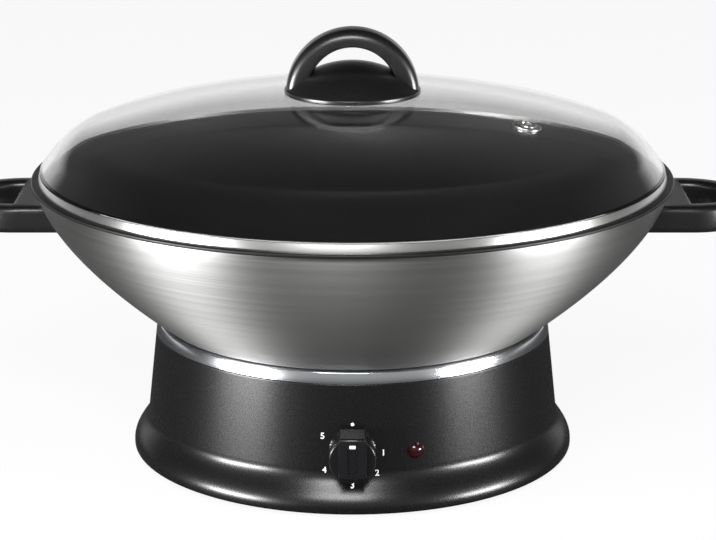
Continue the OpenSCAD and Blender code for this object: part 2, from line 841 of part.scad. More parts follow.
module terminal_block() {
    color("#e9e4d4")
        difference() {
            translate([-block_size[0] / 2, block_y - block_size[1] / 2, block_z]) cube(block_size);
            for (x = [-block_boss_x, block_boss_x])
                translate([x, block_y, block_z - 1]) {
                    cylinder(r = screw_r + screw_play, h = block_size[2] + 2, $fn = 32);
                    translate([0, 0, block_floor + 1])
                        cylinder(r = screw_head_r + head_play, h = block_size[2]);
                }
            for (x = [-block_pitch, 0, block_pitch])
                translate([x, block_y, block_top_z - wire_hole_depth])
                    cylinder(r = wire_hole_r, h = wire_hole_depth + 1, $fn = 24);
        }
}

module block_screws() {
    color("#b9bcc0")
        for (x = [-block_boss_x, block_boss_x])
            translate([x, block_y, block_z + block_floor]) screw(block_floor + block_screw_bite);
}

lens_out = 2.6;
lens_in = 9;

// Places children on the lamp's axis, pointing out of the shell along +Z
module at_lamp(r) {
    rotate([0, 0, lamp_az]) translate([r, 0, lamp_z]) rotate([0, 90, 0]) children();
}

module lamp_lens() {
    cap = lens_out;
    curve = (lens_r * lens_r + cap * cap) / (2 * cap);
    steps = 8;
    half_angle = asin(lens_r / curve);
    arc = [for (i = [0 : steps]) let (a = half_angle * (1 - i / steps))
        [curve * sin(a), curve * cos(a) - curve + cap]];
    color("#6b1420")
        at_lamp(lamp_wall_r)
            rotate_extrude($fn = 60) polygon(concat([[0, -lens_in], [lens_r, -lens_in]], arc));
}

holder_r = 6.5;
holder_l = 12;

module lamp_holder() {
    color("#efefec")
        at_lamp(lamp_wall_r - lens_in - holder_l)
            difference() {
                cylinder(r = holder_r, h = holder_l + 3);
                translate([0, 0, holder_l]) cylinder(r = lens_r + 0.05, h = 4);
            }
}

wire_r = 1.1;
thin_wire_r = 0.77;
tab_x = 9;
tab_clear = wire_r + 0.1;
// Where the wires are led round the inside, clear of the columns and the sensor
live_side = [-62, 40];
heater_side = [-76, 50];
lamp_side = [52, 60];
fuse_side = 26;
wire_gap = 3;
touch = 0.1;

module live_wire() {
    tab_end_y = -thermostat_back_y + tab_l;
    low_z = dial_z - 2 * wire_gap;
    color("#7a4a2a")
        run([
            [-block_pitch, block_y, block_top_z - wire_in],
            [-block_pitch, block_y, block_top_z + 4 * wire_gap],
            [live_side[0], live_side[1], block_top_z + 4 * wire_gap],
            [live_side[0], -live_side[1], low_z],
            [-tab_x, tab_end_y + tab_l, low_z],
            [-tab_x, tab_end_y + tab_clear, dial_z - tab_drop + tab_t / 2]], wire_r);
}

module heater_wire() {
    p = pin_at(1);
    tab_end_y = -thermostat_back_y + tab_l;
    color("#a03030")
        run([
            [tab_x, tab_end_y + tab_clear, dial_z - tab_drop + tab_t / 2],
            [tab_x, tab_end_y + 2 * tab_l, dial_z - wire_gap],
            [heater_side[0], -4 * wire_gap, dial_z],
            [heater_side[0], heater_side[1], dial_z],
            [p[0], p[1], dial_z],
            [p[0], p[1], cold_end_z - pin_l - touch]], wire_r);
}

function pin_at(i) = [element_loop_r * cos(end_angles[i]), element_loop_r * sin(end_angles[i])];

module neutral_wire() {
    p = pin_at(0);
    back = fuse_y + fuse_l / 2 + fuse_lead_l;
    front = fuse_y - fuse_l / 2 - fuse_lead_l;
    low_z = fuse_z - 5 * wire_gap;
    color("#2c4f8a") {
        run([
            [block_pitch, block_y, block_top_z - wire_in],
            [block_pitch, block_y, block_top_z + 2 * wire_gap],
            [fuse_x, back + 4 * wire_gap, fuse_z - 2 * wire_gap],
            [fuse_x, back + 2 * wire_gap, fuse_z],
            [fuse_x, back + touch, fuse_z]], wire_r);
        run([
            [fuse_x, front - touch, fuse_z],
            [fuse_x, front - 4, fuse_z],
            [fuse_x + fuse_side, front - 4, fuse_z - 8],
            [fuse_x + fuse_side, p[1], low_z],
            [p[0] + 4 * wire_gap, p[1] + 2, low_z],
            [p[0], p[1], low_z],
            [p[0], p[1], cold_end_z - pin_l - touch]], wire_r);
    }
}

module lamp_wires() {
    back = lamp_wall_r - lens_in - holder_l - touch;
    color("#e8e8e8")
        for (s = [-wire_gap, wire_gap]) {
            start = [
                back * cos(lamp_az) - s * sin(lamp_az),
                back * sin(lamp_az) + s * cos(lamp_az),
                lamp_z];
            run([
                start,
                start + [-4, 8, 0],
                [lamp_side[0] + s, -lamp_side[1] / 2, lamp_z - 2 * wire_gap],
                [lamp_side[0] + s, lamp_side[1], block_top_z + wire_gap + s * 2 / 3],
                [block_size[0] / 2 + 2 * touch, block_y + s, block_top_z - wire_hole_depth + s]],
                thin_wire_r);
        }
}

earth_y = 20;
earth_lug_r = 3;

module earth_wire() {
    color("#7d9a2c") {
        run([
            [0, block_y, block_top_z - wire_in],
            [0, block_y, block_top_z + 20],
            [earth_x, earth_y + 10, tray_z - 8],
            [earth_x, earth_y, tray_z - earth_lug_r]], wire_r);
        translate([earth_x, earth_y, tray_z - earth_lug_r - touch])
            cylinder(r = earth_lug_r, h = earth_lug_r, $fn = 32);
    }
}

// ---- Control knob ----

knob_socket_play = 0.02;
knob_back_y = dial_face_y + knob_gap;
knob_front_y = knob_back_y + knob_skirt_t;
bar_front_y = dial_face_y + bar_out;
spindle_tip_y = knob_front_y + 2;

module control_knob() {
    slope = 5;
    dish = 0.8;
    dish_w = 5.6;
    dish_rise = 2;
    dish_top = 8.6;
    color("#17171a")
        difference() {
            union() {
                cylinder_y(knob_r, -knob_front_y, -knob_back_y, z = dial_z);
                // side outline of the grip bar, drawn as [out, up]
                translate([-bar_w / 2, 0, dial_z]) rotate([90, 0, 90])
                    linear_extrude(height = bar_w)
                        polygon([
                            [-knob_back_y, bar_up],
                            [-bar_front_y + 0.8, bar_up],
                            [-bar_front_y, bar_up - 0.8],
                            [-bar_front_y, -bar_down + slope],
                            [-bar_front_y + slope, -bar_down],
                            [-knob_back_y, -bar_down]]);
            }
            cylinder_y(spindle_r + knob_socket_play, -spindle_tip_y - 0.1, -knob_back_y + 1,
                z = dial_z);
            translate([-dish_w / 2, -bar_front_y - 1, dial_z - bar_down + slope + dish_rise])
                cube([dish_w, 1 + dish, dish_top + bar_down - slope - dish_rise]);
        }
}

module knob_spindle() {
    color("#b9bcc0")
        cylinder_y(spindle_r, -spindle_tip_y, -thermostat_front_y + spindle_in, z = dial_z);
}

// ---- Bowl ----

function bowl_outer() = [for (i = [0 : bowl_steps]) [bowl_r(bowl_step(i)), bowl_z + bowl_step(i)]];

function bowl_inner() = [for (i = [bowl_steps : -1 : 0])
    let (h = bowl_step(i), n = bowl_normal(h), p = [bowl_r(h), bowl_z + h] - n * bowl_wall)
    if (p[1] > bowl_z + bowl_bottom_t + 1.5 && p[1] < rim_z - 0.5) p];

module wok_bowl() {
    floor_z = bowl_z + bowl_bottom_t;
    inner = bowl_inner();
    color("#c4c6c8")
        rotate_extrude($fn = 180)
            polygon(concat(
                [[0, bowl_z], [bowl_foot_r, bowl_z], [bowl_foot_r + 1.8, bowl_z + 0.3]],
                bowl_outer(),
                [
                    [rim_r - 0.5, rim_z + 0.3],
                    [rim_r, rim_z + 1],
                    [rim_r, rim_top_z - 1.2],
                    [rim_r - 1, rim_top_z],
                    [bowl_in_r, rim_top_z]],
                inner,
                [[inner[len(inner) - 1][0] - 5, floor_z], [0, floor_z]]));
}

// The bowl's outside, grown by a gap, to cut the handles to its shape
module bowl_envelope(gap) {
    grown = [for (i = [0 : bowl_steps]) [bowl_r(bowl_step(i)) + gap, bowl_z + bowl_step(i)]];
    rotate_extrude($fn = 180)
        polygon(concat([[0, bowl_z]], grown, [[bowl_top_r + gap, rim_top_z + 5], [0, rim_top_z + 5]]));
}

handle_z = rim_z - handle_below;
handle_face_x = bowl_top_r + handle_stand;
handle_out_r = handle_in_r + handle_bar;
handle_root_x = bowl_r(handle_z - handle_h / 2 - bowl_z) - handle_out_r;
handle_round = 3;
handle_bolt_r = 2;
handle_bolt_l = 9;
stud_play = 0.1;
stud_root = 0.6;
handle_web = 5;

module side_handle() {
    h = handle_h / 2;
    r0 = handle_in_r;
    r1 = handle_out_r;
    c = handle_round;
    difference() {
        union() {
            translate([handle_face_x, 0, handle_z]) rotate([0, 0, -90])
                rotate_extrude(angle = 180, $fn = 120)
                    polygon([
                        [r0, -h + c], [r0 + c * 0.3, -h + c * 0.3], [r0 + c, -h],
                        [r1 - c, -h], [r1 - c * 0.3, -h + c * 0.3], [r1, -h + c],
                        [r1, h - c], [r1 - c * 0.3, h - c * 0.3], [r1 - c, h],
                        [r0 + c, h], [r0 + c * 0.3, h - c * 0.3], [r0, h - c]]);
            translate([handle_root_x, -r1, handle_z - h])
                cube([handle_face_x - handle_root_x + e, 2 * r1, handle_h]);
        }
        bowl_envelope(handle_gap);
        for (y = [-stud_at, stud_at])
            translate([handle_root_x, y, handle_z]) rotate([0, 90, 0]) {
                cylinder(r = stud_r + stud_play, h = stud_end_x - handle_root_x + stud_play, $fn = 40);
                cylinder(r = handle_bolt_r + screw_play,
                    h = handle_face_x - handle_root_x + screw_head_h, $fn = 32);
            }
    }
}

// Where the studs end inside the handles, and where they meet the bowl
stud_end_x = handle_face_x - handle_web;
stud_root_r = bowl_r(handle_z - bowl_z);
stud_root_x = sqrt(stud_root_r * stud_root_r - pow(stud_at + stud_r, 2)) - stud_root;

module handle_right() {
    color("#1b1b1d") side_handle();
}

module handle_left() {
    color("#1b1b1d") mirror([1, 0, 0]) side_handle();
}

module both_sides() {
    children();
    mirror([1, 0, 0]) children();
}

module handle_studs() {
    color("#c3c6ca")
        difference() {
            both_sides()
                for (y = [-stud_at, stud_at])
                    translate([stud_root_x, y, handle_z]) rotate([0, 90, 0])
                        difference() {
                            cylinder(r = stud_r, h = stud_end_x - stud_root_x, $fn = 40);
                            translate([0, 0, 3])
                                cylinder(r = handle_bolt_r + pilot_play,
                                    h = stud_end_x - stud_root_x, $fn = 32);
                        }
            bowl_envelope(0.02);
        }
}

module handle_screws() {
    color("#b9bcc0")
        both_sides()
            for (y = [-stud_at, stud_at])
                translate([handle_face_x + e, y, handle_z]) rotate([0, 90, 0])
                    difference() {
                        union() {
                            cylinder(r = screw_head_r, h = screw_head_h, $fn = 40);
                            translate([0, 0, -handle_bolt_l])
                            cylinder(r = handle_bolt_r, h = handle_bolt_l + e, $fn = 32);
                        }
                        translate([0, 0, screw_head_h - slot_depth])
                            cross_slot(slot_l, slot_w, 2 * slot_depth);
                    }
}

// ---- Lid ----

band_z = rim_top_z;

module lid_band() {
    top = band_z + band_h;
    color("#e3e4e6")
        rotate_extrude($fn = 180)
            polygon([
                [band_r - 0.4, band_z],
                [band_r, band_z + 0.4],
                [band_r, top - 0.4],
                [band_r - 0.4, top],
                [band_r - band_t, top],
                [band_r - band_t, band_z + band_t],
                [skirt_r - band_t, band_z + band_t],
                [skirt_r - band_t, band_z - skirt_h],
                [skirt_r, band_z - skirt_h],
                [skirt_r, band_z]]);
}

knob_hole_r = knob_screw_r + 1.5;

module glass_dome() {
    z0 = band_z + band_t;
    outer = dome_face(0);
    inner = dome_face(glass_t);
    last = len(inner) - 1;
    color([0.86, 0.92, 0.9, 0.35])
        difference() {
            rotate_extrude($fn = 180)
                polygon(concat(outer, [[glass_r, z0], [glass_r - glass_t, z0]],
                    [for (i = [last : -1 : 0]) inner[i]]));
            translate([0, 0, dome_top_z - glass_t - 5])
                cylinder(r = knob_hole_r, h = glass_t + 10);
            at_vent() translate([0, 0, -glass_t - 5])
                cylinder(r = vent_tube_r + vent_play, h = glass_t + 10);
        }
}

vent_play = 0.1;
vent_flange_t = 0.8;
vent_seat = 0.12;
vent_tilt = atan(dome_slope(vent_at));

// Places children on the dome at the vent, with z = 0 on the glass
module at_vent() {
    rotate([0, 0, vent_az]) translate([vent_at, 0, dome_z(vent_at)])
        rotate([0, vent_tilt, 0]) children();
}

module steam_vent() {
    color("#dfe1e3")
        at_vent()
            difference() {
                union() {
                    cylinder(r = vent_flange_r, h = vent_flange_t);
                    translate([0, 0, vent_flange_t - e])
                        cylinder(r = vent_tube_r, h = 0.8 + e);
                    translate([0, 0, -glass_t - vent_seat - e])
                        cylinder(r = vent_tube_r, h = glass_t + vent_seat + 2 * e);
                    translate([0, 0, -glass_t - vent_seat - vent_flange_t])
                        cylinder(r = vent_flange_r - 0.8, h = vent_flange_t);
                }
                translate([0, 0, -20]) cylinder(r = vent_hole_r, h = 40);
            }
}

cap_r = (pow(disc_r - 1, 2) + cap_h * cap_h) / (2 * cap_h);
arch_z = lip_z - arch_sink;
arch_in_r = (2 * arch_out_r - arch_top_t - arch_foot_t) / 2 - 0.3;
arch_in_z = arch_z + arch_out_r - arch_top_t - arch_in_r;
knob_boss_r = 8;
knob_hollow_r = 22;
knob_hollow_rim = 4;
cap_steps = 16;

module lid_knob() {
    cap_z = lip_z + cap_h - cap_r;
    cap = [for (i = [0 : cap_steps])
        let (r = (disc_r - 1) * (1 - i / cap_steps)) [r, cap_z + sqrt(cap_r * cap_r - r * r)]];
    color("#1b1b1d")
        difference() {
            union() {
                rotate_extrude($fn = 120)
                    polygon(concat(
                        [[0, disc_z], [disc_r - 0.4, disc_z], [disc_r, disc_z + 0.4],
                            [disc_r, lip_z - 0.5], [disc_r - 0.4, lip_z - 0.1]],
                        cap));
                arch();
            }
            // the hollow under the disc, round the middle boss
            rotate_extrude($fn = 120)
                polygon([
                    [knob_boss_r, disc_z - 5], [disc_r - knob_hollow_rim, disc_z - 5],
                    [disc_r - knob_hollow_rim, disc_z + 2], [knob_hollow_r, disc_z + 9],
                    [knob_boss_r, disc_z + 11]]);
            translate([0, 0, disc_z - 5])
                cylinder(r = knob_boss_r + 1, h = knob_base_z - disc_z + 5);
            translate([0, 0, disc_z - 5]) cylinder(r = knob_screw_r + pilot_play, h = 5 + 12);
        }
}

knob_base_z = dome_top_z + seal_t;

// The knob's arch: a round bow with rounded edges, standing on the disc
module arch() {
    w = arch_w / 2;
    c = 2.5;
    intersection() {
        difference() {
            translate([0, 0, arch_z]) rotate([90, 0, 0]) rotate_extrude($fn = 120)
                polygon([
                    [0, -w], [arch_out_r - c, -w], [arch_out_r - c * 0.3, -w + c * 0.3],
                    [arch_out_r, -w + c], [arch_out_r, w - c],
                    [arch_out_r - c * 0.3, w - c * 0.3], [arch_out_r - c, w], [0, w]]);
            translate([0, 0, arch_in_z]) rotate([90, 0, 0]) rotate_extrude($fn = 120)
                polygon([
                    [0, -w - 1], [arch_in_r + c, -w - 1], [arch_in_r + c, -w],
                    [arch_in_r + c * 0.3, -w + c * 0.3], [arch_in_r, -w + c],
                    [arch_in_r, w - c], [arch_in_r + c * 0.3, w - c * 0.3],
                    [arch_in_r + c, w], [arch_in_r + c, w + 1], [0, w + 1]]);
        }
        translate([-arch_out_r - 1, -w - 1, lip_z - 2])
            cube([2 * arch_out_r + 2, arch_w + 2, arch_out_r + 10]);
    }
}

module knob_seal() {
    color("#3a3a3a")
        translate([0, 0, dome_top_z])
            difference() {
                cylinder(r = knob_boss_r, h = seal_t - 0.05);
                translate([0, 0, -1]) cylinder(r = knob_screw_r + 0.2, h = seal_t + 2, $fn = 40);
            }
}

inner_z = dome_top_z - glass_t;

module inner_seal() {
    color("#3a3a3a")
        translate([0, 0, inner_z - seal_t - 0.1])
            difference() {
                cylinder(r = knob_boss_r, h = seal_t);
                translate([0, 0, -1]) cylinder(r = knob_screw_r + 0.2, h = seal_t + 2, $fn = 40);
            }
}

washer_t = 1.5;
washer_z = inner_z - seal_t - 0.1 - washer_t;

module knob_washer() {
    color("#c3c6ca")
        translate([0, 0, washer_z])
            difference() {
                cylinder(r = knob_boss_r + 1.5, h = washer_t);
                translate([0, 0, -1]) cylinder(r = knob_screw_r + 0.2, h = washer_t + 2, $fn = 40);
            }
}

module knob_screw() {
    head_h = 3;
    color("#b9bcc0")
        difference() {
            union() {
                translate([0, 0, washer_z - head_h]) cylinder(r = 4.6, h = head_h, $fn = 40);
                translate([0, 0, washer_z - e])
                    cylinder(r = knob_screw_r, h = knob_base_z + 7 - washer_z, $fn = 40);
            }
            translate([0, 0, washer_z - head_h - 1]) cross_slot(5.5, 1.2, 2.2);
        }
}

base_shell();
bottom_plate();
rubber_feet();
base_screws();
cord_gland();
gland_nut();
trim_ring();
support_tray();
tray_screws();
hot_plate();
plate_spacers();
plate_screws();
heating_element();
terminal_beads();
thermostat_body();
thermostat_bracket();
thermostat_nut();
bracket_screws();
sensor_tube();
thermal_fuse();
fuse_clip();
terminal_block();
block_screws();
lamp_lens();
lamp_holder();
live_wire();
heater_wire();
neutral_wire();
lamp_wires();
earth_wire();
control_knob();
knob_spindle();
wok_bowl();
handle_left();
handle_right();
handle_studs();
handle_screws();
glass_dome();
lid_band();
steam_vent();
lid_knob();
knob_seal();
inner_seal();
knob_washer();
knob_screw();
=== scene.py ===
import math

import bmesh
import bpy
from mathutils import Matrix, Vector


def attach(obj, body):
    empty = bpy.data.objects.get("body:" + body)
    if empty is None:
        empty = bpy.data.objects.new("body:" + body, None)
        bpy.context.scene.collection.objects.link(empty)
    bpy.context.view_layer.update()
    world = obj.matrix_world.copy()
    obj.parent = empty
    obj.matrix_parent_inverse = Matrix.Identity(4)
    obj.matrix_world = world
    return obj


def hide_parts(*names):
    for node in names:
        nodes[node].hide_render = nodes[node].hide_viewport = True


# Electric wok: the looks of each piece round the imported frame. Sizes are millimetres here and
# become metres where a mesh is made; +Z is up and the dial faces -Y.
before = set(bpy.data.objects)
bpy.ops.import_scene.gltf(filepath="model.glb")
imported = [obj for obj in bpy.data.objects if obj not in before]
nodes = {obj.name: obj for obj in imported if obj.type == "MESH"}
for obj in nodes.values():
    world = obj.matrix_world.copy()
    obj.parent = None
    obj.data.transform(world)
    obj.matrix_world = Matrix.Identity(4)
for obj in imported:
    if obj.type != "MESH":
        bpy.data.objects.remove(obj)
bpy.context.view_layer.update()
scene = bpy.context.scene
MM = 0.001

# ---- Sizes of the wok, the same as in the construction ----

FOOT_R, WAIST_R, SHELL_TOP_R, SHELL_WALL = 125.7, 116.9, 111.8, 3
SHELL_Z, SHELL_TOP_Z = 2, 70
FOOT_EDGE, FLARE = 2.5, 19.5
DIAL_Y, DIAL_Z, DIAL_R = -119.5, 33.5, 12.8
GLAND_Y, GLAND_Z, GLAND_SEAT_R = 119, 30, 11
LAMP_X, LAMP_Z, LENS_R, LENS_OUT, LENS_IN = 33.7, 32.9, 4.5, 2.6, 9
RING_TOP_Z, RING_T, RING_LEAN, RING_IN_R = 76.4, 1.2, 1.5, 107.3
RING_FLANGE_R, RING_FLANGE_Z = 97, 58.2
BOWL_Z, BOWL_FOOT_R, BOWL_SIDE_R, BOWL_TOP_R = 75.9, 104, 107, 177
BOWL_SIDE_H, BOWL_CURVE, BOWL_WALL, BOWL_FLOOR = 81, 1.53, 3, 5
RIM_OUT, RIM_H = 2.5, 2.4
RIM_Z = BOWL_Z + BOWL_SIDE_H
RIM_TOP_Z = RIM_Z + RIM_H
HANDLE_X, HANDLE_Z, HANDLE_IN_R, HANDLE_OUT_R = 188, RIM_Z - 17, 25, 37
HANDLE_H, HANDLE_ROUND = 15, 3.4
BAND_R, BAND_H, BAND_T, SKIRT_R, SKIRT_H = 175.5, 4.0, 1, 170, 7
GLASS_R, GLASS_T, DOME_TOP_Z, DOME_FALL, DOME_FLAT = 174.4, 4, RIM_TOP_Z + 45.5, 27.9, 2.4
# The glass bends more softly than in the construction, at most 1.3 mm below it.
SHOULDER_W, SHOULDER_SLOPE, DOME_BEND = 24.2, 52, 34
VENT_AT, VENT_AZ, VENT_FLANGE_R, VENT_TUBE_R, VENT_HOLE_R = 107.2, -29.1, 7.8, 4.6, 3.4
DISC_R, LIP_H, CAP_H = 38, 2.6, 15
ARCH_OUT_R, ARCH_TOP_T, ARCH_FOOT_T, ARCH_W, ARCH_SINK = 37.2, 9.6, 15.6, 22, 3.4
KNOB_R, KNOB_BACK_Y, KNOB_SKIRT_T = 12.5, -119.9, 9
BAR_W, BAR_UP, BAR_DOWN, BAR_FRONT_Y = 14.6, 14.6, 11, -136

# ---- Sizes that only the looks need ----

TURN = 240                                  # sides of a piece that is turned round the axis
INK_T = 0.06                                # half the thickness of the printed ink
FIGURE_H, FIGURE_BOLD, DOT_R = 4.6, 0.09, 0.9
# Each dial mark's place from the knob's axis, to the right and up.
FIGURES = {"1": (16.4, -0.5), "2": (13.1, -11.2), "3": (0, -16.8), "4": (-14.9, -9.7),
           "5": (-15.9, 8.6)}
DOT_UP = 15.3
# The hollow in the dial bar's front and the white pointer above it, from the knob's axis.
HOLLOW_W, HOLLOW_FOOT, HOLLOW_HEAD, HOLLOW_DEEP = 5.6, -5, 8.6, 0.8
POINTER_W, POINTER_FOOT, POINTER_HEAD = 3.2, 9.4, 11.2
# Seats that the housing's wall is drawn out to, for the dial and for the cord gland: the
# seat's face, its height, and the radii where it ends and where the wall is itself again.
SEATS = ((DIAL_Y, DIAL_Z, DIAL_R - 2.3, DIAL_R - 0.5),
         (GLAND_Y, GLAND_Z, GLAND_SEAT_R - 1, GLAND_SEAT_R + 2))
BOWL_CURVE_FROM, BOWL_BEND_R = 1.2, 9       # start of the side's curve, and the inner bend
BAND_LEAN = 0.9                             # the steel band draws in this far at its top
KNOB_HOLE_R = 4                             # the hole for the lid knob's screw in the glass
VENT_LEAF_T, VENT_LIP_H = 0.8, 1.6
# The lid knob is hollow: its core, its hollow's widest radii, and the depths of the hollow.
CORE_R, HOLLOW_R, DISC_RIM, CORE_UP, HOLLOW_UP, RIM_UP = 9, 22, 4, 9, 7, 2


def shell_r(z):
    """Outer radius of the base housing: upright edge, flare, then a straight wall leaning in."""
    h = z - SHELL_Z
    if h <= FOOT_EDGE:
        return FOOT_R
    if h < FOOT_EDGE + FLARE:
        swing = (1 + math.cos(math.pi * (h - FOOT_EDGE) / FLARE)) / 2
        return WAIST_R + (FOOT_R - WAIST_R) * swing
    share = (h - FOOT_EDGE - FLARE) / (SHELL_TOP_Z - SHELL_Z - FOOT_EDGE - FLARE)
    return WAIST_R + (SHELL_TOP_R - WAIST_R) * share


def bowl_r(h):
    """Outer radius of the bowl at a height above its underside."""
    rise = 1 - max(1 - h / BOWL_SIDE_H, 0) ** BOWL_CURVE
    return BOWL_SIDE_R + (BOWL_TOP_R - BOWL_SIDE_R) * rise


def dome_z(r):
    return DOME_TOP_Z - DOME_FALL * (r / GLASS_R) ** DOME_FLAT


def dome_slope(r):
    return DOME_FALL * DOME_FLAT / GLASS_R * (r / GLASS_R) ** (DOME_FLAT - 1)


def dome_face(depth):
    """The glass's section at a depth below its outer face: its crown from the knob's hole
    outwards, then the bend and the sloping shoulder."""
    edge, out = GLASS_R - SHOULDER_W, []
    for k in range(37):
        r = KNOB_HOLE_R + (edge - KNOB_HOLE_R) * k / 36
        lean = math.atan(dome_slope(r))
        out.append((r - depth * math.sin(lean), dome_z(r) - depth * math.cos(lean)))
    middle = (edge - DOME_BEND * math.sin(lean), dome_z(edge) - DOME_BEND * math.cos(lean))
    slope = math.radians(SHOULDER_SLOPE)
    for k in range(1, 11):
        a = lean + (slope - lean) * k / 10
        out.append((middle[0] + (DOME_BEND - depth) * math.sin(a),
                    middle[1] + (DOME_BEND - depth) * math.cos(a)))
    last, end = out[-1], GLASS_R - depth
    out.append((end, last[1] - (end - last[0]) * math.tan(slope)))
    return out


# ---- Camera, at the photograph's angle ----

IMAGE_W, AXIS_LEFT_PX = 716, 5.5
CAMERA_FAR, CAMERA_UP, CAMERA_DOWNWARD = 1278, 460, 15.67
camera = bpy.data.objects.new("camera", bpy.data.cameras.new("camera"))
scene.collection.objects.link(camera)
camera.location = (0, -CAMERA_FAR * MM, CAMERA_UP * MM)
camera.rotation_euler = (math.radians(90 - CAMERA_DOWNWARD), 0, 0)
camera.data.sensor_width, camera.data.lens = 36, 117.2
camera.data.shift_x = AXIS_LEFT_PX / IMAGE_W
scene.camera = camera
scene.view_settings.view_transform = "Standard"


# ---- Materials ----

def add(tree, kind, inputs=None, **settings):
    """Adds a node, with its settings and with its inputs as values or as links."""
    made = tree.nodes.new("ShaderNode" + kind)
    for key, value in settings.items():
        setattr(made, key, value)
    for key, value in (inputs or {}).items():
        if isinstance(value, bpy.types.NodeSocket):
            tree.links.new(value, made.inputs[key])
        else:
            made.inputs[key].default_value = value
    return made


def tint(code):
    """A colour from its sRGB hex code, in linear light."""
    parts = [int(code[i:i + 2], 16) / 255 for i in (1, 3, 5)]
    return [c / 12.92 if c <= 0.04045 else ((c + 0.055) / 1.055) ** 2.4 for c in parts] + [1]


def blank(name):
    made = bpy.data.materials.new(name)
    made.use_nodes = True
    made.node_tree.nodes.clear()
    return made, made.node_tree


def rings_place(tree, place):
    """Coordinates that change only outwards and upwards, so that a grain runs round the axis."""
    split = add(tree, "SeparateXYZ", {0: place})
    flat = add(tree, "CombineXYZ", {0: split.outputs[0], 1: split.outputs[1]})
    out = add(tree, "VectorMath", {0: flat.outputs[0]}, operation="LENGTH")
    return add(tree, "CombineXYZ", {0: out.outputs["Value"], 2: split.outputs[2]}).outputs[0]


def finish(name, shades, grain, rough, relief, rings=False, mottle=30, **sockets):
    """A surface of two near shades, with its roughness and relief from a grain of that size.
    grain, relief and mottle are millimetres: mottle is the size of the slow change of shade."""
    made, tree = blank(name)
    place = add(tree, "TexCoord").outputs["Object"]
    cloud = add(tree, "TexNoise", {"Vector": place, "Scale": 1 / (mottle * MM), "Detail": 2})
    if rings:
        place = rings_place(tree, place)
    fine = add(tree, "TexNoise", {"Vector": place, "Scale": 1 / (grain * MM), "Detail": 3})
    both = add(tree, "Math", {0: cloud.outputs["Fac"], 1: fine.outputs["Fac"], 2: 0.25},
               operation="MULTIPLY_ADD")
    shade = add(tree, "Mix", {0: both.outputs[0], 6: tint(shades[0]), 7: tint(shades[1])},
                data_type="RGBA")
    dull = add(tree, "MapRange", {"Value": fine.outputs["Fac"], "From Min": 0.3,
                                  "From Max": 0.7, "To Min": rough[0], "To Max": rough[1]})
    bump = add(tree, "Bump", {"Height": fine.outputs["Fac"], "Distance": relief * MM})
    values = {key.replace("_", " "): value for key, value in sockets.items()}
    if "Anisotropic" in values:
        values["Tangent"] = add(tree, "Tangent", direction_type="RADIAL", axis="Z").outputs[0]
    shader = add(tree, "BsdfPrincipled", {
        "Base Color": shade.outputs[2], "Roughness": dull.outputs["Result"],
        "Normal": bump.outputs[0], **values})
    add(tree, "OutputMaterial", {"Surface": shader.outputs[0]})
    return made


# Black ABS, injection moulded in a spark-eroded tool: a soft gloss over a very fine grain.
# The grain is about 0.1 mm, drawn at 0.7 mm so that it shows.
moulded_abs = finish("moulded_black_abs", ("#070708", "#0c0c0d"), 0.7, (0.24, 0.30), 0.003,
                     IOR=1.5)
# The dial knob is the same plastic from a polished tool, so its edges shine.
dial_abs = finish("polished_black_abs", ("#0c0c0e", "#121214"), 0.9, (0.20, 0.28), 0.003,
                  IOR=1.53)
# Black phenolic, pressed: hard and even, with a mineral speckle of about 0.5 mm.
phenolic = finish("pressed_black_phenolic", ("#0e0e0f", "#151515"), 0.5, (0.26, 0.36), 0.004,
                  IOR=1.6)
# Matte black ABS of the bottom plate and the cord gland, grained about 0.4 mm.
matte_abs = finish("grained_black_abs", ("#1d1d1f", "#27272a"), 0.5, (0.5, 0.62), 0.02,
                   IOR=1.53)
# Silicone rubber, moulded: dull, with dust in its pores.
silicone = finish("moulded_silicone_rubber", ("#1c1c1c", "#2b2a29"), 0.8, (0.62, 0.8), 0.02,
                  IOR=1.41)
# Chromium on steel, plated and buffed: a soft mirror with faint buffing lines round it.
chrome = finish("plated_chrome_steel", ("#cfd2d6", "#dcdee1"), 0.4, (0.14, 0.2), 0.0008,
                rings=True, Metallic=1.0)
# Stainless steel strip, rolled and polished: bright, with lines along the strip.
rolled_steel = finish("rolled_stainless_steel", ("#d2d2d0", "#dededc"), 0.35, (0.28, 0.36),
                      0.001, rings=True, Metallic=1.0, Anisotropic=0.7,
                      Anisotropic_Rotation=0.25)
# Aluminium, spun and satin finished: lines run round the bowl, so lights stretch up and down
# it. The lines are about 0.1 mm apart, drawn at 0.5 mm so that they show.
spun_aluminium = finish("spun_satin_aluminium", ("#a6a6a5", "#b3b3b2"), 0.5, (0.42, 0.50),
                        0.0015, rings=True, mottle=60, Metallic=1.0, Anisotropic=0.85,
                        Anisotropic_Rotation=0.25)
# PTFE non-stick coating, sprayed and baked: black with an orange-peel skin of about 1.5 mm.
coating = finish("sprayed_ptfe_coating", ("#0b0b0c", "#131314"), 1.5, (0.34, 0.46), 0.02,
                 IOR=1.38)
# Aluminium, cast, its face turned on a lathe: rings about 0.6 mm apart.
turned_casting = finish("turned_cast_aluminium", ("#8d8f91", "#a0a2a4"), 0.6, (0.36, 0.5),
                        0.01, rings=True, Metallic=1.0)
# Zinc-plated steel, pressed: greyish, with a slow clouding of the plating.
zinc_steel = finish("pressed_zinc_steel", ("#a6a9ad", "#bcbfc3"), 3, (0.28, 0.42), 0.002,
                    mottle=12, Metallic=1.0)
# Steel tube, drawn and dulled by heat: brown-grey with darker patches.
tube_steel = finish("drawn_heated_steel", ("#57504b", "#6f6862"), 2, (0.42, 0.58), 0.004,
                    mottle=9, Metallic=1.0)
